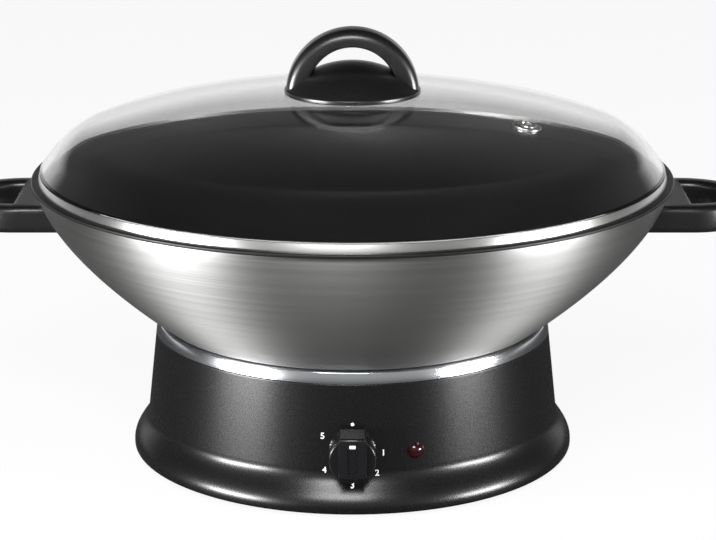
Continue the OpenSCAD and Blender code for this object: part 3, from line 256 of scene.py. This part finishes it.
# Steatite, pressed and fired without a glaze: chalky and slightly pitted.
steatite = finish("fired_steatite", ("#ded7c6", "#ebe6d9"), 0.6, (0.66, 0.8), 0.01, IOR=1.6)
# Cream phenolic, pressed, with a mineral speckle.
cream_phenolic = finish("pressed_cream_phenolic", ("#cbc1a8", "#dad1bb"), 0.5, (0.4, 0.52),
                        0.006, IOR=1.6)
# Copper, drawn: pinkish, with faint drawing lines and a little tarnish.
copper = finish("drawn_copper", ("#a5653f", "#c98a62"), 1.2, (0.22, 0.36), 0.002, mottle=8,
                Metallic=1.0)
# Brass, turned: yellow, with fine tool lines.
brass = finish("turned_brass", ("#b0914e", "#c9ab66"), 0.5, (0.2, 0.32), 0.002, Metallic=1.0)
# Ink, screen printed: flat and slightly uneven.
ink = finish("printed_grey_ink", ("#cfcfcb", "#dededb"), 0.4, (0.5, 0.62), 0.002, IOR=1.5)


def sleeve(name, shades):
    """Silicone rubber, extruded over a wire: smooth, with a slight waxy bloom."""
    return finish("extruded_silicone_" + name, shades, 1.5, (0.42, 0.55), 0.004, mottle=10,
                  IOR=1.41)


def toughened_glass():
    """Soda-lime glass, pressed and toughened: clear, with faint wiping marks 45 mm apart. It
    lets the lamps through to the bowl's inside."""
    made, tree = blank("toughened_soda_lime_glass")
    place = add(tree, "TexCoord").outputs["Object"]
    smear = add(tree, "TexNoise", {"Vector": place, "Scale": 1 / (45 * MM), "Detail": 3})
    wiped = add(tree, "MapRange", {"Value": smear.outputs["Fac"], "From Min": 0.35,
                                   "From Max": 0.75, "To Min": 0.0, "To Max": 0.03})
    shader = add(tree, "BsdfPrincipled", {
        "Base Color": tint("#fbfbfb"), "Roughness": wiped.outputs["Result"], "IOR": 1.52,
        "Transmission Weight": 1.0})
    clear = add(tree, "BsdfTransparent", {"Color": tint("#ebebeb")})
    path = add(tree, "LightPath")
    mix = add(tree, "MixShader", {0: path.outputs["Is Shadow Ray"], 1: shader.outputs[0],
                                  2: clear.outputs[0]})
    add(tree, "OutputMaterial", {"Surface": mix.outputs[0]})
    return made


def tinted_lens():
    """Acrylic, moulded and tinted deep red: glossy, with moulded lines inside that break up the
    light, and with painted shade that makes it darker towards its rim, where it turns from the
    view."""
    made, tree = blank("moulded_red_acrylic")
    place = add(tree, "TexCoord").outputs["Object"]
    lines = add(tree, "TexNoise", {"Vector": place, "Scale": 1 / (1.2 * MM), "Detail": 1})
    # Painted shade: the facing weight darkens the red where the lens turns away from the view.
    rim = add(tree, "LayerWeight", {"Blend": 0.35})
    mixed = add(tree, "Math", {0: lines.outputs["Fac"], 1: rim.outputs["Facing"]},
                operation="MAXIMUM")
    shade = add(tree, "Mix", {0: mixed.outputs[0], 6: tint("#2e080e"), 7: tint("#1c0508")},
                data_type="RGBA")
    shader = add(tree, "BsdfPrincipled", {"Base Color": shade.outputs[2], "Roughness": 0.08,
                                          "IOR": 1.49, "Coat Weight": 0.3})
    add(tree, "OutputMaterial", {"Surface": shader.outputs[0]})
    return made


glass = toughened_glass()
red_acrylic = tinted_lens()


# ---- Ways to make the meshes ----

def piece(name, points, faces, finishes, coats=None, sharp=32):
    """A mesh from points in millimetres, smooth but for edges sharper than that angle."""
    mesh = bpy.data.meshes.new(name)
    mesh.from_pydata([[c * MM for c in p] for p in points], [], faces)
    for one in finishes:
        mesh.materials.append(one)
    if coats:
        mesh.polygons.foreach_set("material_index", coats)
    work = bmesh.new()
    work.from_mesh(mesh)
    bmesh.ops.remove_doubles(work, verts=work.verts, dist=1e-7)
    work.to_mesh(mesh)
    work.free()
    smooth(mesh, sharp)
    made = bpy.data.objects.new(name, mesh)
    scene.collection.objects.link(made)
    return made


def smooth(mesh, sharp=32):
    mesh.shade_smooth()
    mesh.set_sharp_from_angle(angle=math.radians(sharp))


def rounded(corners, steps=5):
    """A closed outline through corners (a, b) or (a, b, radius), each radius as an arc."""
    out = []
    for i, corner in enumerate(corners):
        here = Vector(corner[:2])
        if len(corner) < 3:
            out.append(tuple(here))
            continue
        before = (Vector(corners[i - 1][:2]) - here).normalized()
        after = (Vector(corners[(i + 1) % len(corners)][:2]) - here).normalized()
        half = before.angle(after) / 2
        centre = here + (before + after).normalized() * corner[2] / math.sin(half)
        start = here + before * corner[2] / math.tan(half) - centre
        end = here + after * corner[2] / math.tan(half) - centre
        sweep = start.angle_signed(end)
        for k in range(steps + 1):
            turn = -sweep * k / steps
            out.append((centre.x + start.x * math.cos(turn) - start.y * math.sin(turn),
                        centre.y + start.x * math.sin(turn) + start.y * math.cos(turn)))
    return out


def turned(name, outline, finishes, coats=None, angles=None, place=None, sharp=32):
    """A closed outline of (radius, height), drawn anticlockwise, turned round the axis."""
    angles = angles or [360 * k / TURN for k in range(TURN)]
    points = [(r * math.cos(math.radians(a)), r * math.sin(math.radians(a)), z)
              for r, z in outline for a in angles]
    faces, face_coats = [], []
    for i in range(len(outline)):
        low, high = i * len(angles), (i + 1) % len(outline) * len(angles)
        for k in range(len(angles)):
            m = (k + 1) % len(angles)
            faces.append((low + k, low + m, high + m, high + k))
            face_coats.append(coats[i] if coats else 0)
    if place:
        points = place(points)
    return piece(name, points, faces, finishes, face_coats, sharp)


def lofted(name, sections, finishes, sharp=32):
    """A skin through sections of the same number of points, with flat ends."""
    count = len(sections[0])
    points = [p for section in sections for p in section]
    faces = [tuple(range(count)), tuple(range(len(points) - count, len(points)))]
    for i in range(len(sections) - 1):
        for k in range(count):
            m = (k + 1) % count
            faces.append((i * count + k, i * count + m, (i + 1) * count + m,
                          (i + 1) * count + k))
    made = piece(name, points, faces, finishes, sharp=sharp)
    turn_out(made.data)
    return made


def turn_out(mesh):
    """Turns each face of a closed skin outwards."""
    work = bmesh.new()
    work.from_mesh(mesh)
    bmesh.ops.recalc_face_normals(work, faces=work.faces)
    work.to_mesh(mesh)
    work.free()


def applied(made, kind, **settings):
    """Works a modifier into the mesh."""
    modifier = made.modifiers.new(kind.lower(), kind)
    for key, value in settings.items():
        setattr(modifier, key, value)
    bpy.context.view_layer.update()
    ready = made.evaluated_get(bpy.context.evaluated_depsgraph_get())
    mesh = bpy.data.meshes.new_from_object(ready)
    made.modifiers.clear()
    made.data = mesh


def joined(made, other, operation):
    """Adds another solid to a solid, or cuts it away, and takes the other one out."""
    applied(made, "BOOLEAN", object=other, operation=operation, solver="EXACT")
    bpy.data.objects.remove(other)
    smooth(made.data)
    return made


def fitted(made, body, slot, *replaced):
    """The piece rides on its body and stands for those nodes. Its slot is not used."""
    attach(made, body)
    if replaced:
        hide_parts(*replaced)


# ---- Base ----

def flat_seats(points):
    """Draws the housing's wall out to a flat seat for the dial, and one for the cord gland."""
    out = []
    for x, y, z in points:
        wall = math.hypot(x, y) > shell_r(z) - 0.5 * SHELL_WALL
        for seat_y, seat_z, inner, outer in SEATS:
            if not wall or y * seat_y <= 0:
                continue
            t = min(max((math.hypot(x, z - seat_z) - inner) / (outer - inner), 0), 1)
            lift = 1 - t * t * (3 - 2 * t)
            y += lift * (math.copysign(max(abs(y), abs(seat_y)), y) - y)
        out.append((x, y, z))
    return out


def housing():
    heights = [SHELL_Z + k for k in range(2, SHELL_TOP_Z - SHELL_Z)]
    outer = [(shell_r(z), z) for z in heights]
    inner = [(shell_r(z) - SHELL_WALL, z) for z in reversed(heights[::6])]
    outline = rounded([(FOOT_R - SHELL_WALL, SHELL_Z, 0.8), (FOOT_R, SHELL_Z, 1.0)]
                      + outer
                      + [(SHELL_TOP_R, SHELL_TOP_Z, 0.5),
                         (SHELL_TOP_R - SHELL_WALL, SHELL_TOP_Z, 0.3)]
                      + inner)
    front, back = 270, 90
    angles, a = [], 0
    while a < 360 - 1e-6:
        angles.append(a)
        near_dial, near_gland = abs(a - front) < 14, abs(a - back) < 8
        a += 0.4 if near_dial or near_gland else 2
    made = turned("base_housing", outline, [moulded_abs], angles=angles, place=flat_seats)
    fitted(made, "base", "black_plastic", "base_shell")


def edge_ring():
    outline = rounded([
        (SHELL_TOP_R, SHELL_TOP_Z, 0.3),
        (SHELL_TOP_R - RING_LEAN, RING_TOP_Z, 1.1),
        (RING_IN_R, RING_TOP_Z, 1.1),
        (RING_IN_R, RING_FLANGE_Z + RING_T, 0.4),
        (RING_FLANGE_R, RING_FLANGE_Z + RING_T),
        (RING_FLANGE_R, RING_FLANGE_Z),
        (RING_IN_R + RING_T, RING_FLANGE_Z),
        (RING_IN_R + RING_T, RING_TOP_Z - RING_T),
        (SHELL_TOP_R - RING_LEAN - RING_T, RING_TOP_Z - RING_T),
        (SHELL_TOP_R - RING_T, SHELL_TOP_Z)])
    made = turned("edge_ring", outline, [chrome])
    fitted(made, "base", "chrome", "trim_ring")


def surface_y(x, z):
    """The housing's front at a place, seen from the front."""
    return -math.sqrt(shell_r(z) ** 2 - x * x)


def printed(name, text, x, z):
    """A printed figure, laid on the housing's front and as thin as ink."""
    curve = bpy.data.curves.new(name, "FONT")
    curve.body = text
    curve.size = FIGURE_H * MM
    curve.align_x = curve.align_y = "CENTER"
    curve.offset = FIGURE_BOLD * MM
    curve.resolution_u = 6
    shaped = bpy.data.objects.new(name, curve)
    scene.collection.objects.link(shaped)
    bpy.context.view_layer.update()
    mesh = bpy.data.meshes.new_from_object(
        shaped.evaluated_get(bpy.context.evaluated_depsgraph_get()))
    bpy.data.objects.remove(shaped)
    inked(name, mesh, x, z)


def inked(name, flat, x, z):
    """Thickens a flat mark into ink that lies on the housing's front at that place."""
    work = bmesh.new()
    work.from_mesh(flat)
    bmesh.ops.remove_doubles(work, verts=work.verts, dist=1e-6)
    work.to_mesh(flat)
    work.free()
    spots = [(v.co.x / MM + x, v.co.y / MM + z) for v in flat.vertices]
    points = [(a, surface_y(a, b) + lift, b) for lift in (INK_T, -INK_T) for a, b in spots]
    faces, rims, count = [], {}, len(spots)
    for polygon in flat.polygons:
        loop = list(polygon.vertices)
        faces += [loop[::-1], [count + k for k in loop]]
        for side in zip(loop, loop[1:] + loop[:1]):
            if side[::-1] in rims:
                del rims[side[::-1]]
            else:
                rims[side] = True
    faces += [(a, b, count + b, count + a) for a, b in rims]
    bpy.data.meshes.remove(flat)
    made = piece(name, points, faces, [ink])
    turn_out(made.data)
    fitted(made, "base", "white_wire")


def round_mark(name, x, z):
    turns = [2 * math.pi * k / 32 for k in range(32)]
    flat = bpy.data.meshes.new(name + "_flat")
    flat.from_pydata([(DOT_R * MM * math.cos(a), DOT_R * MM * math.sin(a), 0) for a in turns],
                     [], [range(32)])
    inked(name, flat, x, z)


def dial_marks():
    for text, (x, up) in FIGURES.items():
        printed("dial_" + text, text, x, DIAL_Z + up)
    round_mark("dial_dot", 0, DIAL_Z + DOT_UP)


def lamp():
    curve = (LENS_R * LENS_R + LENS_OUT * LENS_OUT) / (2 * LENS_OUT)
    span = math.asin(LENS_R / curve)
    arc = [(curve * math.sin(span * (1 - k / 12)),
            curve * math.cos(span * (1 - k / 12)) - curve + LENS_OUT) for k in range(13)]
    wall = shell_r(LAMP_Z)
    az = math.asin(LAMP_X / wall) - math.pi / 2
    put = (Matrix.Rotation(az, 4, "Z") @ Matrix.Translation((wall, 0, LAMP_Z))
           @ Matrix.Rotation(math.pi / 2, 4, "Y"))
    lens = turned("lamp_lens_clear", [(0, -LENS_IN), (LENS_R, -LENS_IN)] + arc, [red_acrylic],
                  angles=[6 * k for k in range(60)],
                  place=lambda points: [put @ Vector(p) for p in points])
    fitted(lens, "base", "red_lens", "lamp_lens")


housing()
edge_ring()
dial_marks()
lamp()


# ---- Dial knob ----

def on_bar(name, width, foot, head, corner, first, last, worn):
    """A block with round corners on the bar's front, between two depths behind it."""
    half = width / 2
    outline = rounded([(-half, foot, corner), (half, foot, corner), (half, head, corner),
                       (-half, head, corner)])
    return lofted(name, [[(x, BAR_FRONT_Y + depth, DIAL_Z + up) for x, up in outline]
                         for depth in (first, last)], [worn])


def dial_knob():
    spin = Matrix.Translation((0, KNOB_BACK_Y, DIAL_Z)) @ Matrix.Rotation(math.pi / 2, 4, "X")
    skirt = turned("dial_knob_grip", rounded([
        (0, 0), (KNOB_R, 0, 0.4), (KNOB_R, KNOB_SKIRT_T, 0.9), (0, KNOB_SKIRT_T)]),
        [dial_abs], angles=[3 * k for k in range(120)],
        place=lambda points: [spin @ Vector(p) for p in points])
    side = rounded([
        (KNOB_BACK_Y - 0.2, -BAR_DOWN + 0.4), (KNOB_BACK_Y - 0.2, BAR_UP),
        (BAR_FRONT_Y, BAR_UP, 1.6), (BAR_FRONT_Y, -BAR_DOWN + 5, 2.5),
        (BAR_FRONT_Y + 5, -BAR_DOWN, 1.6)])
    half = BAR_W / 2
    # The bar's two sides draw in over the last 0.9 mm, as a softened edge.
    widths = [(-half, 0.9), (-half + 0.26, 0.26), (-half + 0.9, 0), (half - 0.9, 0),
              (half - 0.26, 0.26), (half, 0.9)]
    middle = (sum(p[0] for p in side) / len(side), sum(p[1] for p in side) / len(side))
    sections = []
    for x, shrink in widths:
        share = 1 - shrink / 8
        sections.append([(x, middle[0] + (y - middle[0]) * share,
                          DIAL_Z + middle[1] + (up - middle[1]) * share) for y, up in side])
    made = joined(skirt, lofted("bar", sections, [dial_abs]), "UNION")
    hollow = on_bar("hollow", HOLLOW_W, HOLLOW_FOOT, HOLLOW_HEAD, 0.6, -2, HOLLOW_DEEP, dial_abs)
    joined(made, hollow, "DIFFERENCE")
    fitted(made, "knob", "black_plastic", "control_knob")
    mark = on_bar("pointer_mark", POINTER_W, POINTER_FOOT, POINTER_HEAD, 0.4, 0.06, -0.05, ink)
    fitted(mark, "knob", "white_wire")


dial_knob()


# ---- Bowl and its handles ----

def bowl_normal(h):
    low, high = max(h - 0.3, 0), min(h + 0.3, BOWL_SIDE_H)
    return Vector((high - low, bowl_r(low) - bowl_r(high))).normalized()


def bowl_outline():
    """The bowl's section and, for each stretch of it, 0 for bare metal and 1 for coating."""
    steps = 56
    outside = [(0, BOWL_Z), (BOWL_FOOT_R - 1, BOWL_Z), (BOWL_FOOT_R + 1.2, BOWL_Z + 0.2)]
    heights = [BOWL_CURVE_FROM + (BOWL_SIDE_H - BOWL_CURVE_FROM) * k / steps
               for k in range(steps + 1)]
    outside += [(bowl_r(h), BOWL_Z + h) for h in heights]
    rim_r = BOWL_TOP_R + RIM_OUT
    lip = rounded([(BOWL_TOP_R, RIM_Z), (rim_r, RIM_Z + 0.3, 0.6),
                   (rim_r, RIM_TOP_Z, 1.0), (BOWL_TOP_R - BOWL_WALL, RIM_TOP_Z, 0.6),
                   (BOWL_TOP_R - BOWL_WALL, RIM_Z - 2)])[1:-1]
    floor_z = BOWL_Z + BOWL_FLOOR
    inside = []
    for h in reversed(heights):
        n = bowl_normal(h)
        p = Vector((bowl_r(h), BOWL_Z + h)) - n * BOWL_WALL
        if floor_z + 6 < p.y < RIM_Z - 0.6:
            inside.append((p.x, p.y))
    last = Vector(inside[-1])
    slope = (last - Vector(inside[-2])).normalized()
    corner = last + slope * (last.y - floor_z) / -slope.y
    bend = rounded([tuple(last), (corner.x, corner.y, BOWL_BEND_R),
                    (corner.x - 40, floor_z)], 8)[1:-1]
    outline = outside + lip + inside + bend + [(0, floor_z)]
    bare = len(outside)
    return outline, [0] * bare + [1] * (len(outline) - bare)


def bowl():
    outline, coats = bowl_outline()
    made = turned("bowl_spun", outline, [spun_aluminium, coating], coats)
    fitted(made, "bowl", "bowl_aluminium", "wok_bowl")


def side_handle(name, side):
    half = HANDLE_H / 2
    section = rounded([(HANDLE_IN_R, -half, HANDLE_ROUND), (HANDLE_OUT_R, -half, HANDLE_ROUND),
                       (HANDLE_OUT_R, half, HANDLE_ROUND), (HANDLE_IN_R, half, HANDLE_ROUND)])
    loop = [[(HANDLE_X + r * math.cos(math.radians(a)), r * math.sin(math.radians(a)),
              HANDLE_Z + b) for r, b in section] for a in range(-90, 91, 3)]
    loop.insert(0, [(x - 3, y, z) for x, y, z in loop[0]])
    loop.append([(x - 3, y, z) for x, y, z in loop[-1]])
    made = lofted(name, loop, [phenolic])
    plate = rounded([(-HANDLE_OUT_R, -half, HANDLE_ROUND), (HANDLE_OUT_R, -half, HANDLE_ROUND),
                     (HANDLE_OUT_R, half, HANDLE_ROUND), (-HANDLE_OUT_R, half, HANDLE_ROUND)])
    steps = [(150, 0), (HANDLE_X - 1.5, 0), (HANDLE_X - 0.5, 0.4), (HANDLE_X, 1.4)]
    block = lofted("block", [
        [(x, y * (1 - inset / HANDLE_OUT_R), HANDLE_Z + z * (1 - inset / half))
         for y, z in plate] for x, inset in steps], [phenolic])
    joined(made, block, "UNION")
    shape = [(0, BOWL_Z)] + [(bowl_r(k * 2) + 0.3, BOWL_Z + k * 2) for k in range(41)]
    joined(made, turned("shape", shape + [(0, RIM_Z)], [phenolic]), "DIFFERENCE")
    if side < 0:
        made.data.transform(Matrix.Rotation(math.pi, 4, "Z"))
    return made


bowl()
fitted(side_handle("side_grip_right", 1), "bowl", "black_plastic", "handle_right")
fitted(side_handle("side_grip_left", -1), "bowl", "black_plastic", "handle_left")


# ---- Lid ----

def lid_glass():
    z0 = RIM_TOP_Z + BAND_T
    outline = (dome_face(0) + [(GLASS_R, z0), (GLASS_R - GLASS_T, z0)]
               + dome_face(GLASS_T)[::-1])
    made = turned("lid_glass", outline[::-1], [glass])
    tool = turned("tool", [(0, -12), (VENT_TUBE_R + 0.1, -12), (VENT_TUBE_R + 0.1, 12), (0, 12)],
                  [glass], angles=[7.5 * k for k in range(48)], place=on_vent)
    joined(made, tool, "DIFFERENCE")
    fitted(made, "lid", "clear_glass", "glass_dome")


def on_vent(points):
    tilt = math.atan(dome_slope(VENT_AT))
    put = (Matrix.Rotation(math.radians(VENT_AZ), 4, "Z")
           @ Matrix.Translation((VENT_AT, 0, dome_z(VENT_AT))) @ Matrix.Rotation(tilt, 4, "Y"))
    return [put @ Vector(p) for p in points]


def steel_band():
    """The band leans in towards its top. The skirt below it is black like the bowl's inside."""
    top = RIM_TOP_Z + BAND_H
    bulge = [(BAND_R - BAND_LEAN * (k / 10) ** 1.3, RIM_TOP_Z + BAND_H * k / 10)
             for k in range(11)]
    outline = bulge + [
        (BAND_R - BAND_T, top), (BAND_R - BAND_T, RIM_TOP_Z + BAND_T),
        (SKIRT_R - BAND_T, RIM_TOP_Z + BAND_T), (SKIRT_R - BAND_T, RIM_TOP_Z - SKIRT_H),
        (SKIRT_R, RIM_TOP_Z - SKIRT_H), (SKIRT_R, RIM_TOP_Z)]
    made = turned("lid_band_rolled", outline, [rolled_steel, coating],
                  [0] * (len(bulge) + 1) + [1] * 4 + [0], sharp=40)
    fitted(made, "lid", "steel", "lid_band")


def vent():
    seat = -GLASS_T - 0.12
    under_r = VENT_FLANGE_R - 0.8
    outline = rounded([
        (VENT_HOLE_R, seat - VENT_LEAF_T, 0.2), (under_r, seat - VENT_LEAF_T, 0.3),
        (under_r, seat), (VENT_TUBE_R, seat), (VENT_TUBE_R, 0),
        (VENT_FLANGE_R, 0), (VENT_FLANGE_R, VENT_LEAF_T, 0.5),
        (VENT_TUBE_R + 0.4, VENT_LEAF_T, 0.3),
        (VENT_TUBE_R, VENT_LIP_H, 0.5), (VENT_HOLE_R, VENT_LIP_H, 0.4)])
    made = turned("vent_eyelet", outline, [rolled_steel], angles=[5 * k for k in range(72)],
                  place=on_vent)
    fitted(made, "lid", "steel", "steam_vent")


def top_knob():
    disc_z = dome_z(DISC_R) + 0.3
    lip_z = disc_z + LIP_H
    ball_r = ((DISC_R - 1) ** 2 + CAP_H * CAP_H) / (2 * CAP_H)
    ball_z = lip_z + CAP_H - ball_r
    cap = []
    for k in range(29):
        r = (DISC_R - 1.2) * (1 - k / 28)
        cap.append((r, ball_z + math.sqrt(ball_r * ball_r - r * r)))
    base_z = DOME_TOP_Z + 1.5
    outline = rounded([
        (0, base_z), (CORE_R, base_z), (CORE_R, disc_z + CORE_UP), (HOLLOW_R, disc_z + HOLLOW_UP),
        (DISC_R - DISC_RIM, disc_z + RIM_UP), (DISC_R - DISC_RIM, disc_z),
        (DISC_R, disc_z, 0.5), (DISC_R, lip_z, 0.9)] + cap)
    made = turned("lid_knob_arched", outline, [phenolic])
    arch_z = lip_z - ARCH_SINK
    in_r = (2 * ARCH_OUT_R - ARCH_TOP_T - ARCH_FOOT_T) / 2 - 0.3
    in_z = arch_z + ARCH_OUT_R - ARCH_TOP_T - in_r
    sections = []
    for turn in range(4, 177, 4):
        a = math.radians(turn)
        low = Vector((in_r * math.cos(a), in_z + in_r * math.sin(a)))
        high = Vector((ARCH_OUT_R * math.cos(a), arch_z + ARCH_OUT_R * math.sin(a)))
        out = (high - low).normalized()
        thick = (high - low).length
        outline = rounded([(0, -ARCH_W / 2, 2.4), (thick, -ARCH_W / 2, 5.5),
                           (thick, ARCH_W / 2, 5.5), (0, ARCH_W / 2, 2.4)])
        sections.append([(low.x + out.x * b, y, low.y + out.y * b) for b, y in outline])
    arch = lofted("arch", sections, [phenolic])
    joined(made, arch, "UNION")
    fitted(made, "lid", "black_plastic", "lid_knob")


lid_glass()
steel_band()
vent()
top_knob()


# ---- Finishes of the frame's own pieces ----

WORN = {
    "bottom_plate": matte_abs, "cord_gland": matte_abs, "gland_nut": matte_abs,
    "rubber_feet": silicone, "knob_seal": silicone, "inner_seal": silicone,
    "base_screws": zinc_steel, "support_tray": zinc_steel, "tray_screws": zinc_steel,
    "plate_spacers": zinc_steel, "plate_screws": zinc_steel, "thermostat_bracket": zinc_steel,
    "bracket_screws": zinc_steel, "fuse_clip": zinc_steel, "block_screws": zinc_steel,
    "knob_spindle": zinc_steel, "handle_studs": rolled_steel, "handle_screws": rolled_steel,
    "knob_washer": rolled_steel, "knob_screw": rolled_steel, "hot_plate": turned_casting,
    "heating_element": tube_steel, "terminal_beads": steatite, "thermal_fuse": steatite,
    "thermostat_body": cream_phenolic, "terminal_block": cream_phenolic,
    "lamp_holder": cream_phenolic, "sensor_tube": copper, "thermostat_nut": brass,
    "live_wire": sleeve("brown", ("#5f3a20", "#6f472b")),
    "heater_wire": sleeve("red", ("#8c2424", "#9d3131")),
    "neutral_wire": sleeve("blue", ("#24457c", "#30548f")),
    "lamp_wires": sleeve("white", ("#d6d6d2", "#e2e2de")),
    "earth_wire": sleeve("green", ("#6b8a24", "#7d9c33")),
}
for name, worn in WORN.items():
    slots = nodes[name].data.materials
    slots.clear()
    slots.append(worn)


# ---- Floor, lamps and world ----

FLOOR_HALF = 8000
LAMP_AIM_Z = 0.1


def path_mix(tree, seen, matt, shiny):
    """Shows one thing to the camera, also through the lid's glass, one to matt surfaces and one
    to shiny ones."""
    path = add(tree, "LightPath")
    bounced = add(tree, "Math", {0: path.outputs["Glossy Depth"],
                                 1: path.outputs["Diffuse Depth"]}, operation="ADD")
    first = add(tree, "Math", {0: bounced.outputs[0], 1: 0.5}, operation="LESS_THAN")
    through = add(tree, "Math", {0: path.outputs["Is Transmission Ray"],
                                 1: first.outputs[0]}, operation="MULTIPLY")
    direct = add(tree, "Math", {0: path.outputs["Is Camera Ray"], 1: through.outputs[0]},
                 operation="MAXIMUM")
    lit = add(tree, "MixShader", {0: path.outputs["Is Diffuse Ray"], 1: shiny, 2: matt})
    return add(tree, "MixShader", {0: direct.outputs[0], 1: lit.outputs[0], 2: seen}).outputs[0]


def floor():
    made, tree = blank("pale_floor")
    pale = add(tree, "BsdfDiffuse", {"Color": tint("#f4f4f4")})
    glow = add(tree, "Emission", {"Color": tint("#ffffff"), "Strength": 1.0})
    # Behind the wok shiny surfaces see the floor as light as the background above it.
    place = add(tree, "SeparateXYZ", {0: add(tree, "TexCoord").outputs["Object"]})
    behind = add(tree, "MapRange", {"Value": place.outputs[1], "From Min": 400 * MM,
                                    "From Max": 900 * MM})
    dull = add(tree, "BsdfDiffuse", {"Color": tint("#585858")})
    grey = add(tree, "MixShader", {0: behind.outputs["Result"], 1: dull.outputs[0],
                                   2: glow.outputs[0]})
    kept = add(tree, "MixShader", {0: 0.9, 1: pale.outputs[0], 2: glow.outputs[0]})
    shown = path_mix(tree, kept.outputs[0], pale.outputs[0], grey.outputs[0])
    add(tree, "OutputMaterial", {"Surface": shown})
    corners = [(-1, -1, 0), (1, -1, 0), (1, 1, 0), (-1, 1, 0)]
    piece("floor", [[FLOOR_HALF * c for c in corner] for corner in corners],
                   [(0, 1, 2, 3)], [made])


def softbox(name, azimuth, height, far, size, watts):
    """A soft rectangular lamp, aimed at the housing's top: its angle from the front to the
    wok's right in degrees, then metres and watts."""
    lamp_data = bpy.data.lights.new(name, "AREA")
    lamp_data.shape = "RECTANGLE"
    lamp_data.size, lamp_data.size_y = size
    lamp_data.energy = watts
    made = bpy.data.objects.new(name, lamp_data)
    scene.collection.objects.link(made)
    a = math.radians(azimuth)
    made.location = (far * math.sin(a), -far * math.cos(a), height)
    aim = Vector((0, 0, LAMP_AIM_Z)) - made.location
    made.rotation_euler = aim.to_track_quat("-Z", "Y").to_euler()


floor()
softbox("left_softbox", azimuth=-60, height=0.18, far=1.5, size=(0.75, 0.34), watts=40)
softbox("right_softbox", azimuth=67, height=0.18, far=1.5, size=(0.7, 0.34), watts=28)
softbox("top_softbox", azimuth=-6, height=1.1, far=1.25, size=(0.7, 0.45), watts=16)

def ramp(tree, value, start, end, first, last):
    """Runs from one value to another while its input runs from start to end."""
    return add(tree, "MapRange", {"Value": value, "From Min": start, "From Max": end,
                                  "To Min": first, "To Max": last}).outputs["Result"]


def product(tree, one, other):
    return add(tree, "Math", {0: one, 1: other}, operation="MULTIPLY").outputs[0]


def studio():
    """White behind the wok, an even pale room for matt surfaces, and for shiny ones a dim
    studio: a little lighter low down in front, dark overhead, and white low down behind."""
    world = bpy.data.worlds.new("studio")
    scene.world = world
    world.use_nodes = True
    tree = world.node_tree
    tree.nodes.clear()
    white = add(tree, "Background", {"Color": tint("#ffffff"), "Strength": 1.0})
    room = add(tree, "Background", {"Color": tint("#ffffff"), "Strength": 0.3})
    way = add(tree, "SeparateXYZ", {0: add(tree, "TexCoord").outputs["Generated"]})
    back, up = way.outputs[1], way.outputs[2]
    front = product(tree, ramp(tree, back, -0.7, 0.1, 0.40, 0.10),
                    ramp(tree, up, 0.35, 0.7, 1.0, 0.2))
    front = product(tree, front, ramp(tree, up, -0.05, 0.18, 0.45, 1.0))
    behind = product(tree, ramp(tree, up, 0.12, 0.26, 0.85, 0.0),
                     ramp(tree, back, 0.55, 0.85, 0.0, 1.0))
    both = add(tree, "Math", {0: front, 1: behind}, operation="MAXIMUM")
    dim = add(tree, "Background", {"Color": tint("#ffffff"), "Strength": both.outputs[0]})
    add(tree, "OutputWorld", {"Surface": path_mix(tree, white.outputs[0], room.outputs[0],
                                                  dim.outputs[0])})


studio()
